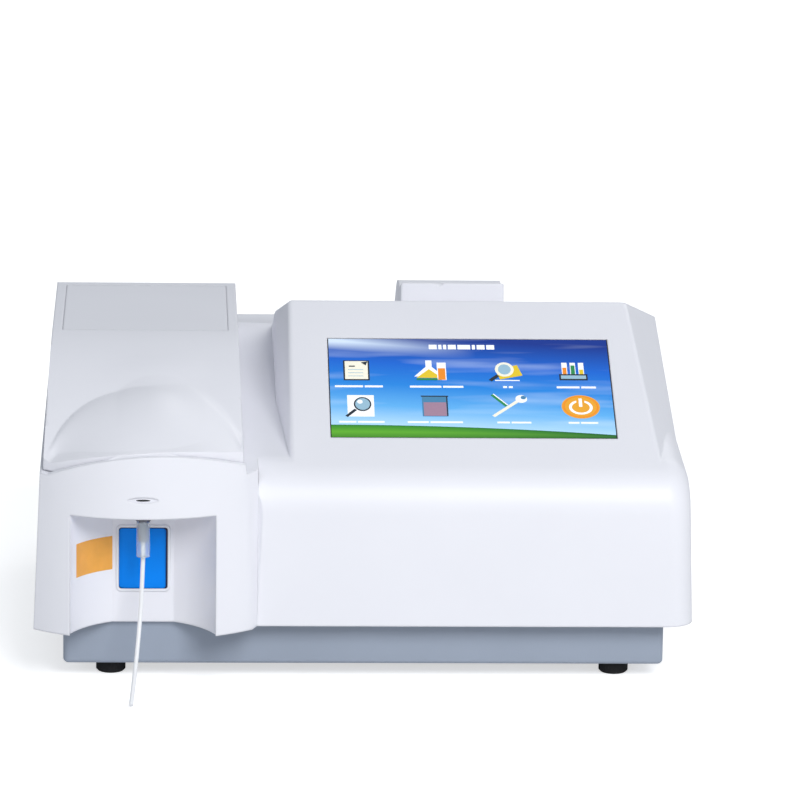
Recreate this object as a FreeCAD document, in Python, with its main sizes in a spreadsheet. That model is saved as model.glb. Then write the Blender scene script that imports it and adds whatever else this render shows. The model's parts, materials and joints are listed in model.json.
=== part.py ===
"""Portable chemistry analyzer, as a parametric document.

Frame: X to the right as seen from the front, Y to the back, Z up, millimetres.
The origin lies under the middle of the case, on the plane that the feet stand on.
"""

import FreeCAD, Part
import math
import os
import Sketcher

SIZES = {
    # case, as seen from outside
    "case_width": 356,
    "case_depth": 306,
    "cover_bottom": 32.5,
    "cover_wall": 2.5,
    "draft_angle": 2.3,
    "body_set_back": 25,
    "lip_height": 93.7,
    "lip_radius": 27,
    "deck_slope": 4.5,
    "shoulder_radius": 14,
    # tower on the left
    "tower_width": 117,
    "tower_front_radius": 89.4,
    "groove_width": 5.4,
    "groove_depth": 2.5,
    "crest_height": 132,
    "crest_radius": 130,
    "crest_offset": 7.5,
    "crest_wall": 3.4,
    # console with the screen
    "console_left": 40.2,
    "console_right": 159.5,
    "console_tilt": 25,
    "console_lean": 28,
    "console_flare_left": 13.5,
    "console_flare_right": 10,
    "ridge_set_back": 147,
    "console_length": 263,
    "console_edge": 3.5,
    # sipper niche in the tower's front
    "niche_width": 77.6,
    "niche_flat": 33,
    "niche_depth": 33,
    "niche_radius": 46,
    "visor_height": 98.2,
    "slit_height": 108.6,
    "slit_length": 17,
    "slit_radius": 24,
    "slit_depth": 3.2,
    # screen
    "screen_width": 155.2,
    "screen_height": 87,
    "screen_offset": 59.2,
    "screen_rise": 23.7,
    "screen_gap": 0.3,
    # compartment under the lid
    "well_width": 71,
    "well_length": 196,
    "well_set_back": 53,
    # tower lid
    "lid_gap": 0.7,
    "lid_side_step": 1.5,
    "lid_wall": 2.5,
    "lid_top": 165,
    "lid_fold": 5,
    "lid_rear": 131,
    "lid_slope_radius": 300,
    "lid_nose_height": 112,
    "lid_edge": 4,
    "bulge_tilt": 14,
    "bulge_length": 133,
    "lid_axis_height": 148.5,
    "lid_rear_radius": 7,
    "lid_pin_radius": 2,
    "pin_cap": 0.8,
    "wrap_angle": 15,
    "lid_panel_depth": 0.6,
    "lid_panel_border": 7,
    # tray, feet
    "foot_height": 8,
    "foot_radius": 8,
    "foot_spacing_x": 274,
    "foot_front": 101,
    "foot_rear": 118,
    "tray_width": 325,
    "tray_front": 117,
    "tray_rear": 144.5,
    "tray_top": 34,
    "tray_flange": 14,
    "steel_sheet": 1.5,
    "tray_bend": 2.5,
    "vent_length": 26,
    "vent_width": 3,
    "vent_pitch": 8,
    # screws and the posts that they enter
    "screw_radius": 1.5,
    "screw_head_radius": 2.9,
    "screw_head_height": 2.2,
    "thread_gap": 0.05,
    "hole_gap": 0.2,
    "post_radius": 4.5,
    "screw_bite": 10,
    # aspirate key
    "key_width": 26.6,
    "key_height": 34.5,
    "key_bottom": 50.8,
    "key_recess": 1,
    "key_thick": 4,
    "key_corner": 3,
    "key_gap": 0.5,
    "key_lip": 2.5,
    "key_travel": 1.5,
    "key_post_radius": 2.5,
    "key_post_length": 6,
    "guide_height": 52,
    "guide_width": 36,
    # sipper
    "sipper_set_back": 18,
    "nut_across": 7,
    "nut_height": 5.2,
    "stem_radius": 2.9,
    "stem_length": 7,
    "barrel_radius": 2.4,
    "barrel_length": 11.2,
    "sleeve_radius": 3.6,
    "sleeve_length": 19,
    "sleeve_bottom": 73.4,
    "tube_radius": 1.15,
    "line_radius": 1.2,
    # screen parts
    "glass_thick": 2.2,
    "lcd_margin": 5,
    "lcd_thick": 5,
    "lcd_frame_width": 186,
    "lcd_frame_height": 97,
    "lcd_frame_band": 12,
    "screen_boss_radius": 3,
    "small_screw_radius": 1.2,
    # printer
    "printer_middle": 54,
    "door_width": 58.6,
    "door_wall": 1.8,
    "door_front": 47.5,
    "door_top": 183,
    "door_top_length": 21,
    "door_back_radius": 45,
    "door_axis_back": 116,
    "door_axis_height": 147.5,
    "knuckle_radius": 6.5,
    "door_pin_radius": 1.5,
    "door_gap": 0.6,
    "slot_gap": 3,
    "roll_radius": 20,
    "roll_width": 57,
    "roll_core_radius": 6.5,
    "roll_middle_back": 84,
    "roll_middle_height": 130,
    "bucket_gap": 1.5,
    "bucket_wall": 2,
    "ear_radius": 3.9,
    "ear_thick": 2.5,
    "platen_radius": 5,
    "platen_shaft_radius": 2,
    "platen_back": 54.6,
    "platen_height": 165.6,
    "platen_length": 46,
    "platen_gear_radius": 6,
    "platen_gear_width": 3.5,
    "head_thick": 3.4,
    "head_height": 10,
    "running_gap": 0.05,
    "part_gap": 0.3,
    # optics on their base
    "optics_front": -8,
    "optics_rear": 130,
    "optics_width": 57,
    "optics_bottom": 46,
    "optics_top": 52,
    "light_height": 90,
    "leg_width": 8,
    "block_width": 35,
    "block_top": 108,
    "detector_length": 17.7,
    "holder_front": 14,
    "holder_length": 26,
    "cell_width": 19.4,
    "cell_length": 13.4,
    "cell_foot": 74,
    "cell_top": 112,
    "cell_gap": 0.3,
    "window_radius": 4,
    "nipple_radius": 1.9,
    "nipple_length": 5,
    "nipple_spread": 5,
    "lens_tube_radius": 6.6,
    "lens_tube_wall": 1.2,
    "lens_tube_front": 46,
    "lens_tube_length": 33,
    "lens_length": 4,
    "wheel_radius": 29,
    "wheel_thick": 5,
    "wheel_front": 84,
    "filter_circle": 22,
    "filter_radius": 5,
    "filter_count": 8,
    "motor_side": 28,
    "motor_length": 26,
    "motor_shaft_radius": 2.5,
    "lamp_house_front": 98,
    "lamp_house_length": 31,
    "lamp_house_width": 40,
    "lamp_house_wall": 4,
    "fin_pitch": 5,
    "fin_depth": 2.5,
    "bulb_radius": 5,
    "bulb_length": 14,
    # peristaltic pump
    "pump_set_back": 91,
    "pump_plate_height": 92,
    "pump_plate_width": 57,
    "pump_plate_length": 58,
    "pump_radius": 28,
    "pump_bore_radius": 23.5,
    "pump_height": 18,
    "pump_floor": 3,
    "roller_circle": 14.5,
    "roller_radius": 4.4,
    "roller_pin_radius": 1.5,
    "roller_count": 3,
    "carrier_radius": 18,
    "carrier_thick": 2,
    "pump_motor_radius": 17.5,
    "pump_motor_length": 44,
    "squeeze_gap": 0.4,
    # boards and power supply
    "board_thick": 1.6,
    "board_left": 45,
    "board_right": 82,
    "board_front": 98,
    "board_rear": 34,
    "standoff_height": 8,
    "standoff_radius": 3,
    "supply_left": 88,
    "supply_width": 60,
    "supply_front": 52,
    "supply_length": 60,
    "supply_height": 38,
    # rear panel and what it carries
    "panel_lip": 10,
    "panel_gap": 0.6,
    "panel_screw_inset": 17,
    "inlet_middle": 126,
    "inlet_height": 66,
    "inlet_width": 27,
    "inlet_tall": 20,
    "inlet_flange_width": 46,
    "inlet_flange_tall": 26,
    "inlet_flange_thick": 2.5,
    "inlet_depth": 20,
    "inlet_wall": 2,
    "blade_width": 4,
    "switch_middle": 88,
    "switch_width": 13,
    "switch_tall": 19,
    "switch_rim": 1.5,
    "switch_depth": 14,
    "rocker_angle": 8,
    "rocker_gap": 0.4,
    "fan_middle": 26,
    "fan_height": 84,
    "fan_side": 60,
    "fan_depth": 15,
    "fan_bore_radius": 28,
    "fan_tip_gap": 1,
    "fan_hub_radius": 13,
    "fan_blades": 7,
    "fan_hub_wall": 1.5,
    "guard_wire": 1,
    "guard_ring_pitch": 6.5,
    "serial_middle": -40,
    "serial_width": 31,
    "serial_tall": 12.5,
    "usb_middle": -72,
    "usb_width": 14.5,
    "usb_tall": 15.6,
    "usb_depth": 17,
    "port_height": 62,
    "port_stand_out": 1,
    "outlet_middle": -145,
    "outlet_height": 62,
    "outlet_radius": 3,
    "outlet_bore_radius": 1.6,
    "outlet_reach": 8,
    "outlet_depth": 14,
    "lid_ear_thick": 4,
    "lid_bracket_length": 18,
    "tray_corner": 3,
    "foot_recess": 0.8,
    "foot_chamfer": 1,
    "vent_middle": -120,
    "board_inset": 5,
    "fan_screw_inset": 5,
    "inlet_corner": 3,
    "blade_thick": 2,
    "blade_length": 15,
    "blade_pitch": 7,
    "blade_rise": 2,
    "switch_wall": 1,
    "rocker_set_back": 3,
    "rocker_pin_radius": 1.2,
    "rocker_thick": 5,
    "rocker_face": 3.5,
    "fan_corner": 3,
    "fan_arm_width": 4,
    "fan_shaft_radius": 2.5,
    "fan_pitch": 35,
    "fan_blade_thick": 1.2,
    "guard_spoke": 2,
    "guard_hub": 6,
    "guard_pitch": 7,
    "guard_ring": 1.6,
    "guard_thick": 1.2,
    "serial_body_width": 19,
    "serial_body_tall": 11,
    "serial_depth": 8,
    "serial_nose_width": 17,
    "serial_nose_tall": 8.5,
    "serial_nose_slant": 1,
    "serial_nose_length": 5,
    "contact_pitch": 2.8,
    "contact_radius": 0.6,
    "jack_spread": 12.5,
    "jack_radius": 2.4,
    "usb_socket_depth": 11,
    "usb_socket_tall": 5.2,
    "barb_depth": 0.8,
    "key_rim_thick": 0,
    "guide_foot_length": 9,
    "key_switch_depth": 9,
    "key_switch_width": 13,
    "key_switch_tall": 13,
    "key_switch_corner": 1,
    "door_top_rake": 1.5,
    "skirt_set_back": 2.5,
    "skirt_bottom": 160,
    "skirt_notch": 60,
    "door_lip_height": 170,
    "door_edge": 1.2,
    "step_motor_radius": 7.5,
    "step_motor_length": 14,
    "motor_gap": 2,
    "hose_clearance": 3,
    "motor_shaft_length": 16,
    "motor_corner": 3,
    "lens_bulge": 1.2,
    "lamp_base_radius": 7,
    "pump_tube_radius": 2.1,
    "tube_tail": 4,
    "chip_side": 14,
    "chip_thick": 1.5,
    "socket_width": 6,
    "socket_height": 8,
    "capacitor_radius": 4,
    "capacitor_height": 10,
}

doc = FreeCAD.newDocument("chemistry_analyzer")
sheet = doc.addObject("Spreadsheet::Sheet", "sizes")
for row, (alias, value) in enumerate(SIZES.items(), start=1):
    sheet.set(f"A{row}", alias)
    sheet.set(f"B{row}", str(value))
    sheet.setAlias(f"B{row}", alias)
doc.recompute()


class Size:
    """A length or angle together with the formula that ties it to the sheet."""

    def __init__(self, value, formula):
        self.value = value
        self.formula = formula

    def __add__(self, other):
        other = as_size(other)
        return Size(self.value + other.value, f"({self.formula} + {other.formula})")

    def __sub__(self, other):
        other = as_size(other)
        return Size(self.value - other.value, f"({self.formula} - {other.formula})")

    def __mul__(self, other):
        other = as_size(other)
        return Size(self.value * other.value, f"({self.formula} * {other.formula})")

    def __truediv__(self, other):
        other = as_size(other)
        return Size(self.value / other.value, f"({self.formula} / {other.formula})")

    def __radd__(self, other):
        return as_size(other) + self

    def __rsub__(self, other):
        return as_size(other) - self

    def __rmul__(self, other):
        return as_size(other) * self

    def __neg__(self):
        return Size(-self.value, f"(-1 * {self.formula})")


def as_size(number):
    """A plain number as a Size; a Size stays what it is."""
    if isinstance(number, Size):
        return number
    return Size(float(number), f"({number})")


def sine(angle):
    return Size(math.sin(math.radians(angle.value)), f"sin({angle.formula})")


def cosine(angle):
    return Size(math.cos(math.radians(angle.value)), f"cos({angle.formula})")


def tangent(angle):
    return Size(math.tan(math.radians(angle.value)), f"tan({angle.formula})")


def root(number):
    return Size(math.sqrt(number.value), f"sqrt({number.formula})")


class Sheet:
    """Reads a cell of the sheet by its alias."""

    def __getattr__(self, alias):
        return Size(float(sheet.get(alias)), f"sizes.{alias}")


size = Sheet()


def bind(thing, name, number):
    """Ties a property to the sheet through its formula."""
    thing.setExpression(name, as_size(number).formula)


def place(thing, x=0, y=0, z=0):
    """Ties the thing's place to the sheet."""
    for axis, number in zip("xyz", (x, y, z)):
        bind(thing, f"Placement.Base.{axis}", number)
    return thing


# A sketch's own axes in each plane, and the direction that it is extruded in.
TURNS = {
    "XY": FreeCAD.Rotation(),
    "YZ": FreeCAD.Rotation(FreeCAD.Vector(1, 1, 1), 120),
    "XZ": FreeCAD.Rotation(FreeCAD.Vector(1, 0, 0), 90),
}
OFFSET_AXIS = {"XY": "z", "YZ": "x", "XZ": "y"}


def fix(sketch, kind, *where, number):
    """Adds a dimension to the sketch and ties it to the sheet."""
    index = sketch.addConstraint(Sketcher.Constraint(kind, *where, number.value))
    sketch.setExpression(f"Constraints[{index}]", number.formula)


def draw(sketch, points):
    """Draws a closed outline through the points and dimensions each of them.

    A point is (x, y), or (x, y, radius) where the stretch that ends there is an arc.
    A positive radius bulges to the right of the way along the outline.
    """
    corners = [tuple(as_size(number) for number in point) for point in points]
    ends = []
    for before, after in zip(corners[-1:] + corners[:-1], corners):
        start = FreeCAD.Vector(before[0].value, before[1].value, 0)
        stop = FreeCAD.Vector(after[0].value, after[1].value, 0)
        if len(after) == 2:
            line = sketch.addGeometry(Part.LineSegment(start, stop))
            ends.append(((line, 1), (line, 2)))
            continue
        radius = abs(after[2].value)
        side = math.copysign(1, after[2].value)
        chord = stop - start
        half = chord.Length / 2
        outward = FreeCAD.Vector(chord.y, -chord.x, 0).normalize() * side
        rise = radius - math.sqrt(radius**2 - half**2)
        middle = (start + stop) / 2 + outward * rise
        arc = sketch.addGeometry(Part.Arc(start, middle, stop))
        ends.append(((arc, 1), (arc, 2)) if side > 0 else ((arc, 2), (arc, 1)))
        fix(sketch, "Radius", arc, number=Size(radius, f"abs({after[2].formula})"))
    for index, (start, stop) in enumerate(ends):
        following = ends[(index + 1) % len(ends)][0]
        sketch.addConstraint(Sketcher.Constraint("Coincident", *stop, *following))
        fix(sketch, "DistanceX", -1, 1, *stop, number=corners[index][0])
        fix(sketch, "DistanceY", -1, 1, *stop, number=corners[index][1])


def outline(name, plane, offset, points):
    """A closed sketch on a plane that lies at the offset along its normal axis."""
    sketch = doc.addObject("Sketcher::SketchObject", name)
    sketch.Placement.Rotation = TURNS[plane]
    bind(sketch, f"Placement.Base.{OFFSET_AXIS[plane]}", offset)
    draw(sketch, points)
    return sketch


def prism(name, plane, low, high, points):
    """A straight block between two places along the plane's normal axis."""
    low, high = as_size(low), as_size(high)
    start = high if plane == "XZ" else low
    block = doc.addObject("Part::Extrusion", name)
    block.Base = outline(f"{name}_outline", plane, start, points)
    block.DirMode = "Normal"
    block.Solid = True
    bind(block, "LengthFwd", high - low)
    return block


def loft(name, sketches):
    """A ruled solid from one sketch to the next."""
    skin = doc.addObject("Part::Loft", name)
    skin.Sections = sketches
    skin.Solid = True
    skin.Ruled = True
    return skin


def box(name, low, high):
    """A block between its lowest and its highest corner."""
    low = [as_size(number) for number in low]
    high = [as_size(number) for number in high]
    block = doc.addObject("Part::Box", name)
    for side, start, stop in zip(("Length", "Width", "Height"), low, high):
        bind(block, side, stop - start)
    return place(block, *low)


AXIS_TURNS = {
    "X": FreeCAD.Rotation(FreeCAD.Vector(0, 1, 0), 90),
    "Y": FreeCAD.Rotation(FreeCAD.Vector(1, 0, 0), -90),
    "Z": FreeCAD.Rotation(),
}


def rod(name, axis, start, radius, length):
    """A round bar from its start point, along an axis."""
    bar = doc.addObject("Part::Cylinder", name)
    bind(bar, "Radius", radius)
    bind(bar, "Height", length)
    bar.Placement.Rotation = AXIS_TURNS[axis]
    return place(bar, *start)


def fuse(name, *parts):
    whole = doc.addObject("Part::MultiFuse", name)
    whole.Shapes = list(parts)
    whole.Refine = True
    return whole


def common(name, *parts):
    shared = doc.addObject("Part::MultiCommon", name)
    shared.Shapes = list(parts)
    shared.Refine = True
    return shared


def cut(name, base, *tools):
    """The base without the tools."""
    rest = doc.addObject("Part::Cut", name)
    rest.Base = base
    rest.Tool = tools[0] if len(tools) == 1 else fuse(f"{name}_tools", *tools)
    rest.Refine = True
    return rest


def rounded(name, base, radius, wanted, end_radius=None):
    """Rounds the edges that the test picks by their middle and direction."""
    doc.recompute()
    picked = []
    for index, edge in enumerate(base.Shape.Edges, start=1):
        middle = edge.valueAt((edge.FirstParameter + edge.LastParameter) / 2)
        along = edge.tangentAt((edge.FirstParameter + edge.LastParameter) / 2)
        if wanted(middle, along, edge):
            picked.append((index, radius.value, (end_radius or radius).value))
    smooth = doc.addObject("Part::Fillet", name)
    smooth.Base = base
    smooth.Edges = picked
    return smooth


def rectangle(left, low, right, high, radius=None):
    """Corner points of an upright rectangle, with round corners where a radius is given."""
    left, low, right, high = (as_size(number) for number in (left, low, right, high))
    if radius is None:
        return [(left, low), (right, low), (right, high), (left, high)]
    return [
        (left + radius, low),
        (right - radius, low),
        (right, low + radius, radius),
        (right, high - radius),
        (right - radius, high, radius),
        (left + radius, high),
        (left, high - radius, radius),
        (left, low + radius),
        (left + radius, low, radius),
    ][1:]


def draw_circle(sketch, x, y, radius):
    """Draws a circle and dimensions it."""
    x, y, radius = as_size(x), as_size(y), as_size(radius)
    centre = FreeCAD.Vector(x.value, y.value, 0)
    circle = sketch.addGeometry(Part.Circle(centre, FreeCAD.Vector(0, 0, 1), radius.value))
    fix(sketch, "Radius", circle, number=radius)
    fix(sketch, "DistanceX", -1, 1, circle, 3, number=x)
    fix(sketch, "DistanceY", -1, 1, circle, 3, number=y)


def body_sketch(body, name, plane, offset=0):
    """An empty sketch on one of the body's own planes."""
    sketch = body.newObject("Sketcher::SketchObject", name)
    base = next(thing for thing in body.Origin.OriginFeatures if thing.Role == f"{plane}_Plane")
    sketch.AttachmentSupport = (base, [""])
    sketch.MapMode = "FlatFace"
    bind(sketch, "AttachmentOffset.Base.z", -as_size(offset) if plane == "XZ" else offset)
    return sketch


def pad(body, name, plane, low, high, shape, holes=()):
    """Pads a shape with holes; each is a circle (x, y, radius) or a list of points."""
    low, high = as_size(low), as_size(high)
    sketch = body_sketch(body, f"{name}_outline", plane, high if plane == "XZ" else low)
    for loop in (shape, *holes):
        if isinstance(loop, tuple):
            draw_circle(sketch, *loop)
        else:
            draw(sketch, loop)
    slab = body.newObject("PartDesign::Pad", name)
    slab.Profile = sketch
    bind(slab, "Length", high - low)
    return slab


def plate(name, plane, low, high, shape, holes=()):
    """A body that is one padded outline with openings."""
    body = doc.addObject("PartDesign::Body", name)
    pad(body, f"{name}_pad", plane, low, high, shape, holes)
    return body


def lathe(name, axis, start, profile):
    """A turned body: the profile's points are (radius, distance along the axis)."""
    body = doc.addObject("PartDesign::Body", name)
    sketch = body_sketch(body, f"{name}_profile", "XZ")
    draw(sketch, profile)
    turned = body.newObject("PartDesign::Revolution", f"{name}_turned")
    turned.Profile = sketch
    turned.ReferenceAxis = (sketch, ["V_Axis"])
    turned.Angle = 360
    body.Placement.Rotation = AXIS_TURNS[axis]
    return place(body, *start)


def spin(body, name, feature, count):
    """Repeats a feature about the body's own upright axis."""
    axis = next(thing for thing in body.Origin.OriginFeatures if thing.Role == "Z_Axis")
    pattern = body.newObject("PartDesign::PolarPattern", name)
    pattern.Originals = [feature]
    pattern.Axis = (axis, [""])
    pattern.Angle = 360
    bind(pattern, "Occurrences", count)
    body.Tip = pattern
    return pattern


def hose(name, points, radius, largest=None):
    """A round tube along straight runs joined by arcs, as large as the runs allow."""
    route = [FreeCAD.Vector(*(as_size(number).value for number in point)) for point in points]
    edges = []
    bends = []
    start = route[0]
    for before, corner, after in zip(route, route[1:], route[2:]):
        arriving = corner - before
        leaving = after - corner
        turn = arriving.getAngle(leaving)
        bend = 0.45 * min(arriving.Length, leaving.Length) / math.tan(turn / 2)
        if largest is not None:
            bend = min(bend, largest.value)
        reach = bend * math.tan(turn / 2)
        enter = corner - FreeCAD.Vector(arriving).normalize() * reach
        leave = corner + FreeCAD.Vector(leaving).normalize() * reach
        towards = ((enter + leave) / 2 - corner).normalize()
        middle = corner + towards * (bend / math.cos(turn / 2) - bend)
        edges.append(Part.LineSegment(start, enter).toShape())
        edges.append(Part.Arc(enter, middle, leave).toShape())
        bends.append(round(bend, 1))
        start = leave
    edges.append(Part.LineSegment(start, route[-1]).toShape())
    path = Part.Wire(edges)
    section = Part.Wire(Part.makeCircle(radius.value, route[0], route[1] - route[0]))
    tube = doc.addObject("Part::Feature", name)
    tube.Shape = path.makePipeShell([section], True, True)
    straight = math.pi * radius.value ** 2 * path.Length
    print(f"{name}: bends {bends}, volume {tube.Shape.Volume / straight:.4f} of section times length")
    return tube


PIECES = []


def piece(name, thing):
    """Names a finished sub-part."""
    thing.Label = name
    PIECES.append(thing)
    return thing


# Planes and lines that several sub-parts share
half_width = size.case_width / 2
half_depth = size.case_depth / 2
case_front = -half_depth
body_front = case_front + size.body_set_back
tower_left = -half_width
tower_right = tower_left + size.tower_width
tower_middle = tower_left + size.tower_width / 2
groove_middle = tower_right + size.groove_width / 2
draft = tangent(size.draft_angle)
beyond = as_size(8)

# The lip's roll touches the deck line at deck_start and the console face at face_start
roll_middle = body_front + size.lip_radius
deck_start_y = roll_middle - size.lip_radius * sine(size.deck_slope)
deck_start_z = size.lip_height + size.lip_radius * cosine(size.deck_slope)
face_start_y = roll_middle - size.lip_radius * sine(size.console_tilt)
face_start_z = size.lip_height + size.lip_radius * cosine(size.console_tilt)
ridge_y = body_front + size.ridge_set_back
ridge_z = face_start_z + (ridge_y - face_start_y) * tangent(size.console_tilt)
above = ridge_z + beyond
console_rear = body_front + size.console_length


def deck_at(y):
    """Height of the deck's outer face at a depth."""
    return deck_start_z + (y - deck_start_y) * tangent(size.deck_slope)


# The console's back falls from the ridge to the deck
back_run = console_rear - ridge_y
back_fall = ridge_z - deck_at(console_rear)
back_length = root(back_run * back_run + back_fall * back_fall)


def back_at(y, depth=0):
    """Height of the console's back at a depth, or of the plane that far inside it."""
    return ridge_z - (y - ridge_y) * back_fall / back_run - depth * back_length / back_run


def plan(side_inset, front_inset, rear):
    """The case's outline seen from above, drawn inwards by the insets."""
    radius = size.tower_front_radius - front_inset
    centre_y = case_front + size.tower_front_radius
    left = tower_left + side_inset
    right = tower_right - side_inset
    left_y = centre_y - root(radius * radius - (tower_middle - left) * (tower_middle - left))
    right_y = centre_y - root(radius * radius - (right - tower_middle) * (right - tower_middle))
    front = body_front + front_inset
    return [
        (left, rear),
        (left, left_y),
        (right, right_y, radius),
        (groove_middle, front + size.groove_depth),
        (tower_right + size.groove_width, front),
        (half_width - side_inset, front),
        (half_width - side_inset, rear),
    ]


def side_lean(height):
    """How far the case's sides have leaned in at a height."""
    return (height - size.cover_bottom) * draft


def front_lean(height):
    """How far the tower's front has leaned in; it stands furthest out at the visor."""
    return (height - size.visor_height) * draft


def case_envelope(name, inset, low, high, rear):
    """The drafted walls of the whole case, between two heights."""
    sections = []
    for end, height in (("low", low), ("high", high)):
        points = plan(inset + side_lean(height), inset + front_lean(height), rear)
        sections.append(outline(f"{name}_{end}", "XY", height, points))
    return loft(name, sections)


def console_block(name, inset):
    """The console: its side profile within two flanks that lean and flare."""
    far = size.case_width
    tilt = tangent(size.console_tilt)
    face_drop = inset / cosine(size.console_tilt)
    back_drop = inset * back_length / back_run
    shift = (back_drop - face_drop) / (tilt + back_fall / back_run)
    top_y = ridge_y - shift
    top_z = ridge_z - face_drop - shift * tilt
    low = size.lip_height + size.lip_radius / 2
    high = above
    profile = prism(f"{name}_profile", "YZ", groove_middle + inset, far, [
        (face_start_y + inset, low),
        (face_start_y + inset, face_start_z - face_drop + inset * tilt),
        (top_y, top_z),
        (console_rear, deck_at(console_rear) - back_drop),
        (console_rear, low),
    ])
    lean = tangent(size.console_lean)
    flank_inset = inset / cosine(size.console_lean)
    sections = []
    for end, depth in (("front", body_front), ("rear", half_depth)):
        run = depth - face_start_y
        left = flank_inset - size.console_left - run * tangent(size.console_flare_left)
        right = size.console_right + run * tangent(size.console_flare_right) - flank_inset
        sections.append(outline(f"{name}_{end}", "XZ", depth, [
            (left + (low - face_start_z) * lean, low),
            (right - (low - face_start_z) * lean, low),
            (right - (high - face_start_z) * lean, high),
            (left + (high - face_start_z) * lean, high),
        ]))
    block = common(f"{name}_sharp", profile, loft(f"{name}_flanks", sections))

    def is_upper_edge(middle, along, edge):
        return middle.z > face_start_z.value + 1 and middle.y < console_rear.value - 1

    return rounded(name, block, size.console_edge - inset / 2, is_upper_edge)


def case_form(name, inset, over, envelope):
    """The case as a block; with an inset it is the room inside the cover's walls.

    The block runs past the open sides of the cover, below and behind, by the overshoot.
    """
    low = size.cover_bottom - over
    rear = half_depth + over
    far = half_width + beyond
    drop = inset / cosine(size.deck_slope)
    deep = low - beyond
    back = rear + beyond
    radius = size.lip_radius - inset
    nose = body_front + inset
    roll = prism(f"{name}_roll", "YZ", groove_middle, far, [
        (nose, deep),
        (nose, size.lip_height),
        (roll_middle - radius * sine(size.deck_slope),
         size.lip_height + radius * cosine(size.deck_slope), -radius),
        (back, deck_at(back) - drop),
        (back, deep),
    ])
    deck = prism(f"{name}_deck", "YZ", -far, groove_middle, [
        (case_front - beyond, deep),
        (case_front - beyond, deck_at(case_front - beyond) - drop),
        (back, deck_at(back) - drop),
        (back, deep),
    ])
    body = common(f"{name}_body", envelope, roll)
    shoulder = size.shoulder_radius - inset
    side = half_width - inset - side_lean(deck_start_z)

    def is_shoulder(middle, along, edge):
        near_side = abs(middle.x - side.value) < 2
        return near_side and abs(along.y) > 0.9 and middle.z > size.lip_height.value

    body = rounded(f"{name}_shoulder", body, shoulder, is_shoulder)
    block = common(f"{name}_tower", envelope, deck)
    console = common(f"{name}_console", envelope, console_block(f"{name}_console_block", inset))
    return [body, block, console]


def niche(name, wall):
    """The scoop in the tower's front, with the thickness of its walls around it."""
    mouth = case_front + size.tower_front_radius - root(
        size.tower_front_radius * size.tower_front_radius
        - size.niche_width * size.niche_width / 4)
    floor = case_front + size.niche_depth + wall
    outside = case_front - beyond
    half = size.niche_width / 2 + wall
    flat = size.niche_flat / 2
    return prism(name, "XY", size.cover_bottom - 2 * beyond, size.visor_height + wall, [
        (tower_middle - half, outside),
        (tower_middle + half, outside),
        (tower_middle + half, mouth + wall),
        (tower_middle + flat, floor, size.niche_radius),
        (tower_middle - flat, floor),
        (tower_middle - half, mouth + wall, size.niche_radius),
    ])


def on_face(thing, x, up, out):
    """Puts a part on the tilted console face: across, up the face and out of it."""
    thing.Placement.Rotation = FreeCAD.Rotation(FreeCAD.Vector(1, 0, 0), size.console_tilt.value)
    bind(thing, "Placement.Rotation.Angle", size.console_tilt)
    rise, run = sine(size.console_tilt), cosine(size.console_tilt)
    return place(thing, x, face_start_y + up * run - out * rise, face_start_z + up * rise + out * run)


def face_box(name, low, high):
    """A block between two corners that are given on the console face."""
    low = [as_size(number) for number in low]
    high = [as_size(number) for number in high]
    block = doc.addObject("Part::Box", name)
    for side, start, stop in zip(("Length", "Width", "Height"), low, high):
        bind(block, side, stop - start)
    return on_face(block, *low)


# The cover: one hollow moulding with tower, lip, deck and console
def lid_plan(side_inset, front_inset, rear):
    """The lid's outline seen from above: straight sides and the tower's round front."""
    radius = size.tower_front_radius - front_inset
    centre_y = case_front + size.tower_front_radius
    left = tower_left + side_inset
    right = tower_right - side_inset
    half = (right - left) / 2
    side_y = centre_y - root(radius * radius - half * half)
    return [(left, rear), (left, side_y), (right, side_y, radius), (right, rear)]


crest_lean = front_lean(size.crest_height)
lid_front_inset = crest_lean + size.crest_wall + size.lid_gap
crest_middle = tower_middle + size.crest_offset
well_front = case_front + size.well_set_back
well_rear = well_front + size.well_length
niche_floor = case_front + size.niche_depth
key_middle = size.key_bottom + size.key_height / 2
flange_top = size.tray_top
tray_half = size.tray_width / 2
post_x = tray_half - size.tray_flange / 2
post_front = -size.tray_front + size.tray_flange / 2
post_rear = size.tray_rear - size.tray_flange - size.post_radius
POSTS = {
    "left_front": (-post_x, post_front),
    "right_front": (post_x, post_front),
    "left_rear": (-post_x, post_rear),
    "right_rear": (post_x, post_rear),
}
sipper_y = case_front + size.sipper_set_back
printer_left = size.printer_middle - size.door_width / 2 - size.door_gap
printer_right = size.printer_middle + size.door_width / 2 + size.door_gap
screen_left = size.screen_offset - size.screen_width / 2
screen_right = size.screen_offset + size.screen_width / 2
screen_low = size.screen_rise
screen_high = screen_low + size.screen_height


def crest_wall(envelope):
    """The arched front wall of the tower, which hides the lid's front edge."""
    arch_y = case_front + size.tower_front_radius / 2.5
    low = deck_at(case_front) - size.crest_wall
    left = tower_left - beyond
    right = tower_right - side_lean(size.crest_height)
    radius = size.crest_radius
    foot = size.crest_height - radius
    left_z = foot + root(radius * radius - (crest_middle - left) * (crest_middle - left))
    right_z = foot + root(radius * radius - (right - crest_middle) * (right - crest_middle))
    arch = prism("crest_arch", "XZ", case_front - beyond, arch_y, [
        (left, low),
        (tower_right - side_lean(low), low),
        (right, right_z),
        (left, left_z, radius),
    ])
    inner_radius = size.tower_front_radius - crest_lean - size.crest_wall
    room = rod("crest_room", "Z", (tower_middle, case_front + size.tower_front_radius, low - 1),
               inner_radius, above - low)
    return cut("crest_wall", common("crest_block", arch, envelope), room)


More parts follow.
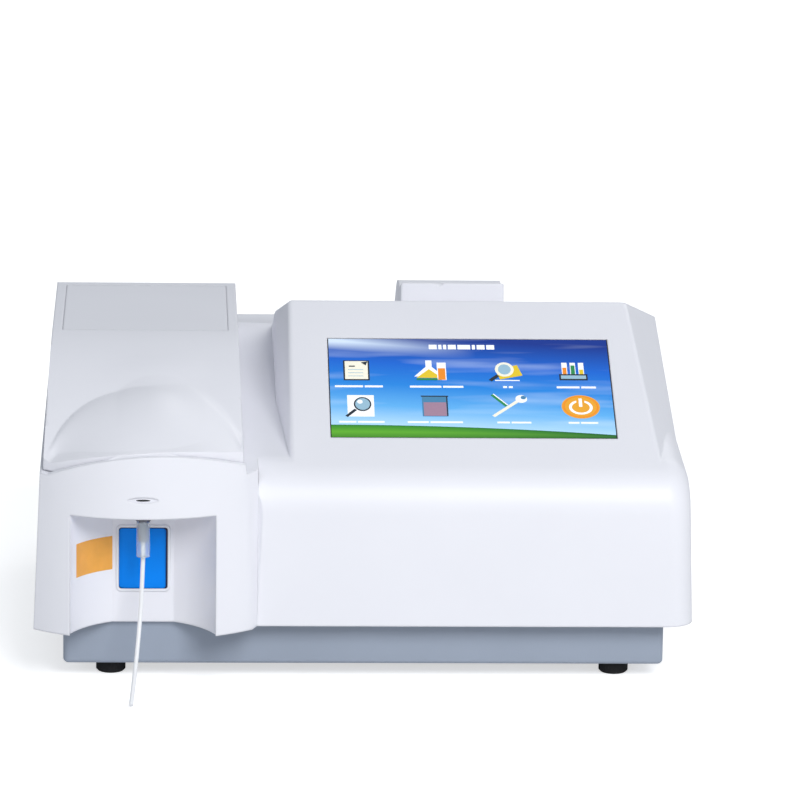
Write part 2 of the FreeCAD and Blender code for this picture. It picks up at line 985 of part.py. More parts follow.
outer_envelope = case_envelope("outer_envelope", 0, size.cover_bottom, above, half_depth)
inner_envelope = case_envelope("inner_envelope", size.cover_wall, size.cover_bottom - beyond, above,
                               half_depth + beyond)
outside = fuse("case_outside", *case_form("outer", as_size(0), as_size(0), outer_envelope),
               crest_wall(outer_envelope))
room = fuse("case_room", *case_form("inner", size.cover_wall, beyond, inner_envelope))
posts = []
pilots = []
for corner, (x, y) in POSTS.items():
    posts.append(rod(f"post_{corner}", "Z", (x, y, flange_top), size.post_radius, above - flange_top))
    pilots.append(rod(f"pilot_{corner}", "Z", (x, y, flange_top - 1),
                      size.screw_radius + size.thread_gap, size.screw_bite + 3))
panel_front = size.tray_rear - size.steel_sheet
panel_screw_z = {
    "low": size.cover_bottom + size.panel_screw_inset,
    "high": deck_at(panel_front) - size.panel_screw_inset,
}
boss_length = size.screw_bite + 2
PANEL_SCREWS = {}
for level, z in panel_screw_z.items():
    wall_x = half_width - size.cover_wall - side_lean(z)
    for side, sign in (("left", -1), ("right", 1)):
        x = sign * (wall_x - size.post_radius + 1)
        PANEL_SCREWS[f"{side}_{level}"] = (x, z)
        posts.append(rod(f"boss_{side}_{level}", "Y", (x, panel_front - boss_length, z),
                         size.post_radius, boss_length))
        pilots.append(rod(f"boss_pilot_{side}_{level}", "Y", (x, panel_front - boss_length + 1, z),
                          size.screw_radius + size.thread_gap, boss_length))

well = box("well_opening",
           (tower_middle - size.well_width / 2, well_front, size.visor_height + 2 * size.cover_wall),
           (tower_middle + size.well_width / 2, well_rear, size.lid_top))
half_key = size.key_width / 2 + size.key_gap
key_hole = box("key_opening",
               (tower_middle - half_key, niche_floor - 1, size.key_bottom - size.key_gap),
               (tower_middle + half_key, niche_floor + size.cover_wall + 1,
                size.key_bottom + size.key_height + size.key_gap))
stem_hole = rod("stem_hole", "Z", (tower_middle, sipper_y, size.visor_height - 1),
                size.stem_radius + size.hole_gap, size.cover_wall + 2)
slit = prism("visor_slit", "XZ", case_front - beyond, case_front + 2 * size.slit_depth, [
    (tower_middle - size.slit_length / 2, size.slit_height, size.slit_radius),
    (tower_middle + size.slit_length / 2, size.slit_height, size.slit_radius),
])
screen_hole = face_box("screen_opening",
                       (screen_left - size.screen_gap, screen_low - size.screen_gap, -size.cover_wall - 1),
                       (screen_right + size.screen_gap, screen_high + size.screen_gap, as_size(2)))
paper_bay = box("paper_bay_opening", (printer_left, size.door_front - size.slot_gap, size.roll_middle_height),
                (printer_right, size.door_axis_back + size.knuckle_radius + size.door_gap, above))
screen_middle = (screen_low + screen_high) / 2
frame_reach_x = size.lcd_frame_width / 2 - size.screen_boss_radius - 1
frame_reach_up = size.lcd_frame_height / 2 - size.screen_boss_radius - 1
SCREEN_BOSSES = {
    "left_low": (size.screen_offset - frame_reach_x, screen_middle - frame_reach_up),
    "left_high": (size.screen_offset - frame_reach_x, screen_middle + frame_reach_up),
    "right_low": (size.screen_offset + frame_reach_x, screen_middle - frame_reach_up),
    "right_high": (size.screen_offset + frame_reach_x, screen_middle + frame_reach_up),
}


def face_rod(name, x, up, out, radius, length):
    """A round bar that stands on the tilted console face."""
    bar = doc.addObject("Part::Cylinder", name)
    bind(bar, "Radius", radius)
    bind(bar, "Height", length)
    return on_face(bar, x, up, out)


face_bosses = []
for corner, (x, up) in SCREEN_BOSSES.items():
    face_bosses.append(face_rod(f"screen_boss_{corner}", x, up, -size.cover_wall - size.lcd_thick,
                                size.screen_boss_radius, size.lcd_thick + 1))
    pilots.append(face_rod(f"screen_pilot_{corner}", x, up, -size.cover_wall - size.lcd_thick - 1,
                           size.small_screw_radius + size.thread_gap, size.lcd_thick))
room = cut("room_around_posts", room, niche("niche_walls", size.cover_wall), *posts, *face_bosses)
shell = cut("cover_shell", outside, room)
piece("top_cover", cut("cover_finished", shell, niche("niche_scoop", as_size(0)), well, key_hole, stem_hole,
                       slit, screen_hole, paper_bay, *pilots))

# The lid over the flow cell: it hides behind the crest and turns about its rear axis
lid_axis_y = size.lid_rear - size.lid_rear_radius
lid_axis_z = size.lid_axis_height
lid_side = size.tower_width / 2 - size.lid_side_step - side_lean(lid_axis_z)


def lid_form(name, inset, over):
    """The lid as a block; with an inset it is the room under it, open below and at the hinge."""
    low = size.visor_height + 2 * size.cover_wall
    sections = []
    for end, height in (("low", low), ("high", above)):
        points = lid_plan(inset + size.lid_side_step + side_lean(height), lid_front_inset + inset,
                          size.lid_rear + beyond)
        sections.append(outline(f"{name}_{end}", "XY", height, points))
    envelope = loft(f"{name}_envelope", sections)
    gap = size.lid_gap - over
    top = size.lid_top - inset
    nose_y = case_front + size.crest_wall
    rear = size.lid_rear - inset
    round_rear = size.lid_rear_radius - inset
    if over.value > 0:
        turned = [
            (lid_axis_y + round_rear * cosine(size.wrap_angle), lid_axis_z - round_rear * sine(size.wrap_angle),
             -round_rear),
            (size.lid_rear + over, lid_axis_z - (size.lid_rear_radius + over) * tangent(size.wrap_angle)),
            (size.lid_rear + over, low),
        ]
    else:
        turned = [(lid_axis_y, lid_axis_z - round_rear, -round_rear), (lid_axis_y, low)]
    profile = prism(f"{name}_profile", "YZ", -half_width, groove_middle, [
        (nose_y, low),
        (nose_y, size.lid_nose_height - inset),
        (size.lid_fold, top, -size.lid_slope_radius),
        (rear - size.lid_edge, top),
        (rear, top - size.lid_edge, -size.lid_edge),
        (rear, lid_axis_z),
        *turned,
    ])
    # The hump is a tilted cylinder that carries the crest's arch back up the slope
    axis_z = size.crest_height - size.crest_radius / cosine(size.bulge_tilt)
    hump = rod(f"{name}_hump", "Y", (crest_middle, case_front, axis_z), size.crest_radius - inset,
               size.bulge_length / cosine(size.bulge_tilt))
    hump.Placement.Rotation = FreeCAD.Rotation(FreeCAD.Vector(-1, 0, 0), 90 - size.bulge_tilt.value)
    bind(hump, "Placement.Rotation.Angle", 90 - size.bulge_tilt)
    start, stop = case_front - beyond, size.lid_rear + 2 * beyond
    over_deck = prism(f"{name}_over_deck", "YZ", -half_width, groove_middle, [
        (start, deck_at(start) + gap),
        (stop, deck_at(stop) + gap),
        (stop, top),
        (start, top),
    ])
    return common(name, envelope, fuse(f"{name}_hull", profile, hump), over_deck)


lid_outside = lid_form("lid_outside", as_size(0), as_size(0))
lid_room = lid_form("lid_room", size.lid_wall, size.lid_wall)
panel_half = size.tower_width / 2 - size.lid_panel_border - side_lean(size.lid_top)
panel = box("lid_panel", (tower_middle - panel_half, size.lid_fold, size.lid_top - size.lid_panel_depth),
            (tower_middle + panel_half, size.lid_rear - size.lid_panel_border - size.lid_edge,
             size.lid_top + 2))
lid_bore = rod("lid_pin_bore", "X", (tower_middle - lid_side + size.pin_cap, lid_axis_y, lid_axis_z),
               size.lid_pin_radius + size.running_gap, 2 * (lid_side - size.pin_cap))
piece("tower_lid", cut("lid_shell", lid_outside, lid_room, panel, lid_bore))

# The bracket on the deck that carries the lid's two pins
ear_outer = lid_side - size.lid_wall / cosine(size.draft_angle) - size.part_gap
ear_inner = ear_outer - size.lid_ear_thick
strip_front = lid_axis_y - size.lid_bracket_length
web_rear = lid_axis_y - 2 * size.lid_pin_radius
bracket_parts = [prism("lid_bracket_strip", "YZ", tower_middle - ear_outer, tower_middle + ear_outer, [
    (strip_front, deck_at(strip_front)),
    (web_rear, deck_at(web_rear)),
    (web_rear, deck_at(web_rear) + size.steel_sheet),
    (strip_front, deck_at(strip_front) + size.steel_sheet),
])]
for side, sign in (("left", -1), ("right", 1)):
    near = tower_middle + (ear_inner if sign > 0 else -ear_outer)
    bracket_parts.append(rod(f"lid_ear_{side}", "X", (near, lid_axis_y, lid_axis_z), size.ear_radius,
                             size.lid_ear_thick))
    bracket_parts.append(prism(f"lid_web_{side}", "YZ", near, near + size.lid_ear_thick, [
        (strip_front, deck_at(strip_front)),
        (web_rear, deck_at(web_rear)),
        (lid_axis_y - size.lid_pin_radius, lid_axis_z - size.ear_radius * cosine(as_size(30))),
        (lid_axis_y, lid_axis_z),
        (lid_axis_y - size.ear_radius, lid_axis_z),
    ]))
pin_reach = lid_side - size.pin_cap - size.part_gap
pin_bores = rod("lid_bracket_bore", "X", (tower_middle - lid_side, lid_axis_y, lid_axis_z),
                size.lid_pin_radius, 2 * lid_side)
piece("lid_bracket", cut("lid_bracket_bored", fuse("lid_bracket_form", *bracket_parts), pin_bores))
piece("lid_pins", fuse("lid_pin_pair", *(
    rod(f"lid_pin_{side}", "X", (start, lid_axis_y, lid_axis_z), size.lid_pin_radius, pin_reach - ear_inner)
    for side, start in (("left", tower_middle - pin_reach), ("right", tower_middle + ear_inner)))))

# The sheet-metal tray that closes the case below
tray_bottom = size.foot_height
tray_floor = tray_bottom + size.steel_sheet
tray_block = box("tray_block", (-tray_half, -size.tray_front, tray_bottom),
                 (tray_half, size.tray_rear, size.tray_top))


def is_upright(middle, along, edge):
    return abs(along.z) > 0.9


def is_lowest(middle, along, edge):
    return middle.z < tray_bottom.value + 0.5


tray_form = rounded("tray_corners", tray_block, size.tray_corner, is_upright)
tray_form = rounded("tray_bends", tray_form, size.tray_bend, is_lowest)
sheet_steel = size.steel_sheet
tray_room = box("tray_room", (-tray_half + sheet_steel, -size.tray_front + sheet_steel, tray_floor),
                (tray_half - sheet_steel, size.tray_rear - sheet_steel, size.tray_top - sheet_steel))
tray_mouth = box("tray_mouth", (-tray_half + size.tray_flange, -size.tray_front + size.tray_flange, tray_floor),
                 (tray_half - size.tray_flange, size.tray_rear - size.tray_flange, size.tray_top + 1))
FEET = {
    "front_left": (-size.foot_spacing_x / 2, -size.foot_front),
    "front_right": (size.foot_spacing_x / 2, -size.foot_front),
    "rear_left": (-size.foot_spacing_x / 2, size.foot_rear),
    "rear_right": (size.foot_spacing_x / 2, size.foot_rear),
}
screw_hole = size.screw_radius + size.hole_gap
tray_holes = []
for corner, (x, y) in FEET.items():
    tray_holes.append(rod(f"foot_hole_{corner}", "Z", (x, y, tray_bottom - 1), screw_hole, sheet_steel + 2))
for corner, (x, y) in POSTS.items():
    tray_holes.append(rod(f"post_hole_{corner}", "Z", (x, y, size.tray_top - sheet_steel - 1), screw_hole,
                          sheet_steel + 2))
    tray_holes.append(rod(f"driver_hole_{corner}", "Z", (x, y, tray_bottom - 1),
                          size.screw_head_radius + 1, sheet_steel + 2))
for row in range(7):
    x = size.vent_middle + (row - 3) * size.vent_pitch
    tray_holes.append(prism(f"vent_{row}", "XY", tray_bottom - 1, tray_floor + 1, rectangle(
        x - size.vent_width / 2, -size.vent_length / 2, x + size.vent_width / 2, size.vent_length / 2,
        size.vent_width * 0.45)))
BOARD_SCREWS = {}
for side, x in (("left", -size.board_left + size.board_inset), ("right", size.board_right - size.board_inset)):
    for end, y in (("front", -size.board_front + size.board_inset), ("rear", size.board_rear - size.board_inset)):
        BOARD_SCREWS[f"{side}_{end}"] = (x, y)
tray_studs = [rod(f"board_stud_{corner}", "Z", (x, y, tray_floor - sheet_steel / 2), size.standoff_radius,
                  size.standoff_height + sheet_steel / 2) for corner, (x, y) in BOARD_SCREWS.items()]
stud_bores = [rod(f"board_stud_bore_{corner}", "Z", (x, y, tray_floor + 1), size.small_screw_radius,
                  size.standoff_height) for corner, (x, y) in BOARD_SCREWS.items()]
tray_shell = cut("tray_shell", tray_form, tray_room, tray_mouth, *tray_holes)
piece("base_tray", cut("tray_finished", fuse("tray_with_studs", tray_shell, *tray_studs), *stud_bores))

# Rubber feet, each turned with a counterbore for its screw
foot_screw_parts = []
for corner, (x, y) in FEET.items():
    head_top = size.screw_head_height + size.foot_recess
    piece(f"foot_{corner}", lathe(f"foot_{corner}", "Z", (x, y, 0), [
        (screw_hole, head_top),
        (size.screw_head_radius + size.hole_gap, head_top),
        (size.screw_head_radius + size.hole_gap, 0),
        (size.foot_radius - size.foot_chamfer, 0),
        (size.foot_radius, size.foot_chamfer),
        (size.foot_radius, size.foot_height),
        (screw_hole, size.foot_height),
    ]))
    foot_screw_parts.append(lathe(f"foot_screw_{corner}", "Z", (x, y, 0), [
        (0, size.foot_recess),
        (size.screw_head_radius, size.foot_recess),
        (size.screw_head_radius, head_top),
        (size.screw_radius, head_top),
        (size.screw_radius, tray_floor),
        (2 * size.screw_radius, tray_floor),
        (2 * size.screw_radius, tray_floor + size.screw_head_height),
        (0, tray_floor + size.screw_head_height),
    ]))
piece("foot_screws", fuse("foot_screw_set", *foot_screw_parts))


def pan_screw(name, axis, start, length, sign=1):
    """A pan-head screw from the seat of its head; the sign says which way its shank points."""
    head, shank = size.screw_head_height * -sign, length * sign
    points = [(0, head), (size.screw_head_radius, head), (size.screw_head_radius, 0), (size.screw_radius, 0),
              (size.screw_radius, shank), (0, shank)]
    return lathe(name, axis, start, points if sign > 0 else points[::-1])


case_screws = [pan_screw(f"post_screw_{corner}", "Z", (x, y, size.tray_top - sheet_steel),
                         sheet_steel + size.screw_bite) for corner, (x, y) in POSTS.items()]
case_screws += [pan_screw(f"panel_screw_{corner}", "Y", (x, size.tray_rear, z),
                          sheet_steel + size.screw_bite, -1) for corner, (x, z) in PANEL_SCREWS.items()]
piece("case_screws", fuse("case_screw_set", *case_screws))

# The rear panel stands on the tray's flange and fills the cover's open back
panel_back = size.tray_rear
panel_inner_top = deck_at(panel_front) - size.cover_wall / cosine(size.deck_slope) - size.panel_gap


def panel_x(z):
    return half_width - size.cover_wall - size.panel_gap - side_lean(z)


panel_round = size.shoulder_radius
FAN_SCREWS = [(size.fan_middle + x * (size.fan_side / 2 - size.fan_screw_inset),
               size.fan_height + z * (size.fan_side / 2 - size.fan_screw_inset))
              for x in (-1, 1) for z in (-1, 1)]
half_inlet = size.inlet_width / 2
half_inlet_tall = size.inlet_tall / 2
half_switch = size.switch_width / 2
half_switch_tall = size.switch_tall / 2


def around(x, z, width, height, gap, radius=None):
    """Corner points of a rectangle about its middle, grown by a gap."""
    return rectangle(x - width / 2 - gap, z - height / 2 - gap, x + width / 2 + gap, z + height / 2 + gap, radius)


panel_holes = [
    around(size.inlet_middle, size.inlet_height, size.inlet_width, size.inlet_tall, size.hole_gap),
    around(size.switch_middle, size.inlet_height, size.switch_width, size.switch_tall, size.hole_gap),
    (size.fan_middle, size.fan_height, size.fan_bore_radius),
    around(size.serial_middle, size.port_height, size.serial_body_width, size.serial_body_tall, size.hole_gap),
    around(size.usb_middle, size.port_height, size.usb_width, size.usb_tall, size.hole_gap),
    (size.outlet_middle, size.outlet_height, size.outlet_radius + size.hole_gap),
]
panel_holes += [(x, z, screw_hole) for x, z in FAN_SCREWS]
panel_holes += [(x, z, screw_hole) for x, z in PANEL_SCREWS.values()]
panel_plate = plate("panel_plate", "XZ", panel_front, panel_back, [
    (-panel_x(size.tray_top), size.tray_top),
    (panel_x(size.tray_top), size.tray_top),
    (panel_x(panel_inner_top - panel_round), panel_inner_top - panel_round),
    (panel_x(panel_inner_top - panel_round) - panel_round, panel_inner_top, panel_round),
    (-panel_x(panel_inner_top), panel_inner_top),
], panel_holes)
lip_half = tray_half - size.tray_flange
panel_lip = box("panel_lip", (-lip_half, panel_front - size.panel_lip, size.tray_top),
                (lip_half, panel_front + sheet_steel / 2, size.tray_top + sheet_steel))
piece("rear_panel", fuse("panel_with_lip", panel_plate, panel_lip))

# Power inlet, switch and rocker
inlet_back = panel_back + size.inlet_flange_thick
inlet_front = panel_front - size.inlet_depth
inlet_body = fuse(
    "inlet_body",
    plate("inlet_flange", "XZ", panel_back, inlet_back,
          around(size.inlet_middle, size.inlet_height, size.inlet_flange_width, size.inlet_flange_tall, 0,
                 size.inlet_corner)),
    box("inlet_block", (size.inlet_middle - half_inlet, inlet_front, size.inlet_height - half_inlet_tall),
        (size.inlet_middle + half_inlet, panel_back, size.inlet_height + half_inlet_tall)))
wall = size.inlet_wall
socket = box("inlet_socket", (size.inlet_middle - half_inlet + wall, inlet_front + wall,
                              size.inlet_height - half_inlet_tall + wall),
             (size.inlet_middle + half_inlet - wall, inlet_back + 1, size.inlet_height + half_inlet_tall - wall))
blades = [box(f"inlet_blade_{name}",
              (size.inlet_middle + x - size.blade_thick / 2, inlet_front + wall / 2,
               size.inlet_height + z - size.blade_width / 2),
              (size.inlet_middle + x + size.blade_thick / 2, inlet_front + size.blade_length,
               size.inlet_height + z + size.blade_width / 2))
          for name, x, z in (("live", -size.blade_pitch, 0), ("earth", 0, size.blade_rise),
                             ("neutral", size.blade_pitch, 0))]
piece("power_inlet", fuse("inlet_with_blades", cut("inlet_hollow", inlet_body, socket), *blades))

switch_front = panel_back - size.switch_depth
rim = size.switch_rim
frame_wall = size.switch_wall
rocker_y = panel_back - size.rocker_set_back
switch_body = fuse(
    "switch_body",
    box("switch_flange", (size.switch_middle - half_switch - rim, panel_back,
                          size.inlet_height - half_switch_tall - rim),
        (size.switch_middle + half_switch + rim, panel_back + rim,
         size.inlet_height + half_switch_tall + rim)),
    box("switch_block", (size.switch_middle - half_switch, switch_front, size.inlet_height - half_switch_tall),
        (size.switch_middle + half_switch, panel_back, size.inlet_height + half_switch_tall)))
switch_room = box("switch_room", (size.switch_middle - half_switch + frame_wall, switch_front + frame_wall,
                                  size.inlet_height - half_switch_tall + frame_wall),
                  (size.switch_middle + half_switch - frame_wall, panel_back + rim + 1,
                   size.inlet_height + half_switch_tall - frame_wall))
pivot_reach = half_switch - size.running_gap
switch_bore = rod("switch_bore", "X", (size.switch_middle - half_switch, rocker_y, size.inlet_height),
                  size.rocker_pin_radius + size.running_gap, 2 * half_switch)
piece("switch_frame", cut("switch_hollow", switch_body, switch_room, switch_bore))

rocker_half = half_switch - frame_wall - size.rocker_gap
rocker_tall = half_switch_tall - frame_wall - 2 * size.rocker_gap
rocker = doc.addObject("PartDesign::Body", "rocker")
pad(rocker, "rocker_pad", "YZ", -rocker_half, rocker_half, [
    (-size.rocker_thick / 2, -rocker_tall / 2),
    (size.rocker_face, -rocker_tall),
    (size.rocker_face + rocker_tall * tangent(size.rocker_angle), -rocker_tall),
    (size.rocker_face, 0),
    (size.rocker_face + rocker_tall * tangent(size.rocker_angle), rocker_tall),
    (size.rocker_face, rocker_tall),
    (-size.rocker_thick / 2, rocker_tall / 2),
])
pad(rocker, "rocker_pivot", "YZ", -pivot_reach, pivot_reach, (0, 0, size.rocker_pin_radius))
rocker.Placement.Rotation = FreeCAD.Rotation(FreeCAD.Vector(-1, 0, 0), size.rocker_angle.value)
bind(rocker, "Placement.Rotation.Angle", size.rocker_angle)
piece("power_rocker", place(rocker, size.switch_middle, rocker_y, size.inlet_height))

# Cooling fan behind a stamped guard
fan_front = panel_front - size.fan_depth
fan_frame = plate("fan_frame_plate", "XZ", fan_front, panel_front,
                  around(size.fan_middle, size.fan_height, size.fan_side, size.fan_side, 0, size.fan_corner),
                  [(size.fan_middle, size.fan_height, size.fan_bore_radius)]
                  + [(x, z, screw_hole) for x, z in FAN_SCREWS])
hub_thick = size.fan_hub_wall
fan_arms = [rod("fan_motor_plate", "Y", (size.fan_middle, fan_front, size.fan_height), size.fan_hub_radius,
                hub_thick)]
arm = size.fan_arm_width / 2
fan_arms.append(box("fan_arm_across", (size.fan_middle - size.fan_bore_radius - 1, fan_front, size.fan_height - arm),
                    (size.fan_middle + size.fan_bore_radius + 1, fan_front + hub_thick, size.fan_height + arm)))
fan_arms.append(box("fan_arm_up", (size.fan_middle - arm, fan_front, size.fan_height - size.fan_bore_radius - 1),
                    (size.fan_middle + arm, fan_front + hub_thick, size.fan_height + size.fan_bore_radius + 1)))
fan_arms.append(rod("fan_stub", "Y", (size.fan_middle, fan_front, size.fan_height), size.fan_shaft_radius,
                    size.fan_depth / 2))
piece("fan_frame", fuse("fan_frame_with_arms", fan_frame, *fan_arms))

rotor_start = hub_thick + size.part_gap
rotor_length = size.fan_depth - rotor_start - 2 * size.part_gap
blade_half = rotor_length / 2 - size.part_gap
blade_sweep = blade_half * tangent(size.fan_pitch)
rotor = lathe("fan_rotor", "Y", (size.fan_middle, fan_front + rotor_start, size.fan_height), [
    (size.fan_shaft_radius + size.running_gap, 0),
    (size.fan_hub_radius, 0),
    (size.fan_hub_radius, rotor_length),
    (0, rotor_length),
    (0, rotor_length - hub_thick),
    (size.fan_shaft_radius + size.running_gap, rotor_length - hub_thick),
])
blade_reach = root((size.fan_bore_radius - size.fan_tip_gap) * (size.fan_bore_radius - size.fan_tip_gap)
                   - (blade_sweep + size.fan_blade_thick) * (blade_sweep + size.fan_blade_thick))
middle_z = rotor_length / 2
fan_blade = pad(rotor, "fan_blade", "YZ", size.fan_hub_radius - 1, blade_reach, [
    (-blade_sweep, middle_z - blade_half),
    (-blade_sweep + size.fan_blade_thick, middle_z - blade_half),
    (blade_sweep + size.fan_blade_thick, middle_z + blade_half),
    (blade_sweep, middle_z + blade_half),
])
spin(rotor, "fan_blades", fan_blade, size.fan_blades)
piece("fan_rotor", rotor)


def ring_slot(x, z, inner, outer, quarter):
    """Outline of a quarter of a ring, less the width of a spoke."""
    spoke = size.guard_spoke / 2
    inner_run = root(inner * inner - spoke * spoke)
    outer_run = root(outer * outer - spoke * spoke)
    corners = [(inner_run, spoke), (outer_run, spoke), (spoke, outer_run, outer), (spoke, inner_run)]
    turned = []
    for corner in corners:
        a, b = corner[0], corner[1]
        for _ in range(quarter):
            a, b = -b, a
        turned.append((x + a, z + b) + corner[2:])
    return turned[:1] and [turned[0] + (-inner,)] + turned[1:]


guard_slots = [ring_slot(size.fan_middle, size.fan_height, size.guard_hub + ring * size.guard_pitch,
                         size.guard_hub + (ring + 1) * size.guard_pitch - size.guard_ring, quarter)
               for ring in range(3) for quarter in range(4)]
piece("fan_guard", plate("fan_guard", "XZ", panel_back, panel_back + size.guard_thick,
                         around(size.fan_middle, size.fan_height, size.fan_side, size.fan_side, 0,
                                size.fan_corner),
                         guard_slots + [(x, z, screw_hole) for x, z in FAN_SCREWS]))

# Ports and the waste outlet
serial_block = box("serial_block",
                   (size.serial_middle - size.serial_body_width / 2, panel_front - size.serial_depth,
                    size.port_height - size.serial_body_tall / 2),
                   (size.serial_middle + size.serial_body_width / 2, panel_back,
                    size.port_height + size.serial_body_tall / 2))
serial_flange = plate("serial_flange", "XZ", panel_back, panel_back + size.port_stand_out,
                      around(size.serial_middle, size.port_height, size.serial_width, size.serial_tall, 0,
                             size.port_stand_out))
tall, wide, slant = size.serial_nose_tall / 2, size.serial_nose_width / 2, size.serial_nose_slant
contacts = [(size.serial_middle + (column - 2) * size.contact_pitch, size.port_height + size.contact_pitch / 2,
             size.contact_radius) for column in range(5)]
contacts += [(size.serial_middle + (column - 1.5) * size.contact_pitch, size.port_height - size.contact_pitch / 2,
              size.contact_radius) for column in range(4)]
serial_nose = plate("serial_nose", "XZ", panel_back + size.port_stand_out,
                    panel_back + size.port_stand_out + size.serial_nose_length, [
                        (size.serial_middle - wide + slant, size.port_height - tall),
                        (size.serial_middle + wide - slant, size.port_height - tall),
                        (size.serial_middle + wide, size.port_height + tall),
                        (size.serial_middle - wide, size.port_height + tall),
                    ], contacts)
jacks = [rod(f"serial_jack_{side}", "Y", (size.serial_middle + sign * size.jack_spread, panel_back,
                                          size.port_height), size.jack_radius, size.serial_nose_length)
         for side, sign in (("left", -1), ("right", 1))]
piece("serial_port", fuse("serial_port_form", serial_block, serial_flange, serial_nose, *jacks))

usb_block = box("usb_block", (size.usb_middle - size.usb_width / 2, panel_front - size.usb_depth,
                              size.port_height - size.usb_tall / 2),
                (size.usb_middle + size.usb_width / 2, panel_back + size.port_stand_out,
                 size.port_height + size.usb_tall / 2))
usb_rooms = []
usb_tongues = []
for level, sign in (("lower", -1), ("upper", 1)):
    z = size.port_height + sign * size.usb_tall / 4
    half = size.usb_width / 2 - size.port_stand_out
    usb_rooms.append(box(f"usb_room_{level}", (size.usb_middle - half, panel_back - size.usb_socket_depth,
                                               z - size.usb_socket_tall / 2),
                         (size.usb_middle + half, panel_back + size.port_stand_out + 1,
                          z + size.usb_socket_tall / 2)))
    usb_tongues.append(box(f"usb_tongue_{level}", (size.usb_middle - half + 1,
                                                   panel_back - size.usb_socket_depth - 1, z),
                           (size.usb_middle + half - 1, panel_back, z + size.port_stand_out)))
piece("usb_ports", fuse("usb_with_tongues", cut("usb_hollow", usb_block, *usb_rooms), *usb_tongues))

bore = size.outlet_bore_radius
reach_in, reach_out = size.outlet_depth, size.outlet_reach
stem = size.outlet_radius
piece("waste_outlet", lathe("waste_outlet", "Y", (size.outlet_middle, panel_back, size.outlet_height), [
    (bore, -reach_in),
    (stem, -reach_in),
    (stem, 0),
    (stem + 2, 0),
    (stem + 2, size.steel_sheet),
    (stem - size.barb_depth, size.steel_sheet),
    (stem - size.barb_depth, reach_out / 2),
    (stem, reach_out / 2),
    (stem - size.barb_depth, reach_out - size.barb_depth),
    (bore + size.part_gap, reach_out),
    (bore, reach_out),
]))

# Aspirate key in the niche: it slides in its opening and on its stem, and closes a switch
key_front = niche_floor + size.key_recess
key_back = key_front + size.key_thick
half_key_width = size.key_width / 2
key_top = size.key_bottom + size.key_height
aspirate_key = doc.addObject("PartDesign::Body", "aspirate_key")
lip_front = niche_floor + size.cover_wall + size.part_gap
pad(aspirate_key, "key_cap", "XZ", key_front, key_back,
    rectangle(tower_middle - half_key_width, size.key_bottom, tower_middle + half_key_width, key_top,
              size.key_corner))
pad(aspirate_key, "key_rim", "XZ", lip_front, key_back + size.key_rim_thick,
    rectangle(tower_middle - half_key_width - size.key_lip, size.key_bottom - size.key_lip,
              tower_middle + half_key_width + size.key_lip, key_top + size.key_lip, size.key_corner))
stem_back = key_back + size.key_post_length
pad(aspirate_key, "key_stem", "XZ", key_back, stem_back, (tower_middle, key_middle, size.key_post_radius))
piece("aspirate_key", aspirate_key)

guide_front = key_back + size.key_rim_thick + size.key_travel + size.part_gap
guide_back = guide_front + size.steel_sheet
guide_half = size.guide_width / 2
guide_plate = plate("guide_plate", "XZ", guide_front, guide_back,
                    rectangle(tower_middle - guide_half, size.tray_top, tower_middle + guide_half,
                              size.tray_top + size.guide_height, size.key_corner),
                    [(tower_middle, key_middle, size.key_post_radius + size.running_gap)])
guide_foot = box("guide_foot", (tower_middle - guide_half + size.key_corner, guide_front, size.tray_top),
                 (tower_middle + guide_half - size.key_corner, guide_front + size.guide_foot_length,
                  size.tray_top + size.steel_sheet))
piece("key_guide", fuse("key_guide_form", guide_plate, guide_foot))

stroke_end = stem_back + size.key_travel + size.part_gap
switch_back = guide_back + size.key_switch_depth
key_switch = cut(
    "key_switch_form",
    plate("key_switch_case", "XZ", guide_back, switch_back,
          around(tower_middle, key_middle, size.key_switch_width, size.key_switch_tall, 0,
                 size.key_switch_corner)),
    rod("key_switch_room", "Y", (tower_middle, guide_back - 1, key_middle),
        size.key_post_radius + size.part_gap, stroke_end - guide_back + 1))
piece("key_switch", key_switch)

# Sipper: a nut through the visor, a barrel and a sleeve that holds the needle
nut_bottom = size.visor_height - size.nut_height
sipper_bore = size.line_radius
barrel_bottom = nut_bottom - size.barrel_length
hexagon = []
for corner in range(6):
    angle = as_size(60 * corner)
    radius = size.nut_across / 2 / cosine(as_size(30))
    hexagon.append((tower_middle + radius * cosine(angle), sipper_y + radius * sine(angle)))
nut = doc.addObject("PartDesign::Body", "nut_body")
pad(nut, "nut_hex", "XY", nut_bottom, size.visor_height, hexagon, [(tower_middle, sipper_y, sipper_bore)])
nut_stem = lathe("nut_stem", "Z", (tower_middle, sipper_y, size.visor_height), [
    (sipper_bore, 0),
    (size.stem_radius, 0),
    (size.stem_radius, size.stem_length),
    (sipper_bore, size.stem_length),
])
piece("sipper_nut", fuse("sipper_nut_form", nut, nut_stem))
piece("sipper_barrel", lathe("sipper_barrel", "Z", (tower_middle, sipper_y, barrel_bottom), [
    (sipper_bore, 0),
    (size.barrel_radius, 0),
    (size.barrel_radius, size.barrel_length),
    (sipper_bore, size.barrel_length),
]))
piece("sipper_sleeve", lathe("sipper_sleeve", "Z", (tower_middle, sipper_y, size.sleeve_bottom), [
    (sipper_bore / 2, 0),
    (size.sleeve_radius, 0),
    (size.sleeve_radius, size.sleeve_length),
    (size.barrel_radius, size.sleeve_length),
    (size.barrel_radius, barrel_bottom - size.sleeve_bottom),
    (sipper_bore / 2, barrel_bottom - size.sleeve_bottom),
]))
piece("sipper_tube", hose("sipper_tube", [
    (tower_middle, sipper_y, size.sleeve_bottom),
    (-120, -135.4, 57),
    (-120.9, -139, 40.5),
    (-122.3, -147.5, 25),
    (-123.9, -160, 11.5),
    (-125.4, -174, 2.2),
], size.tube_radius))

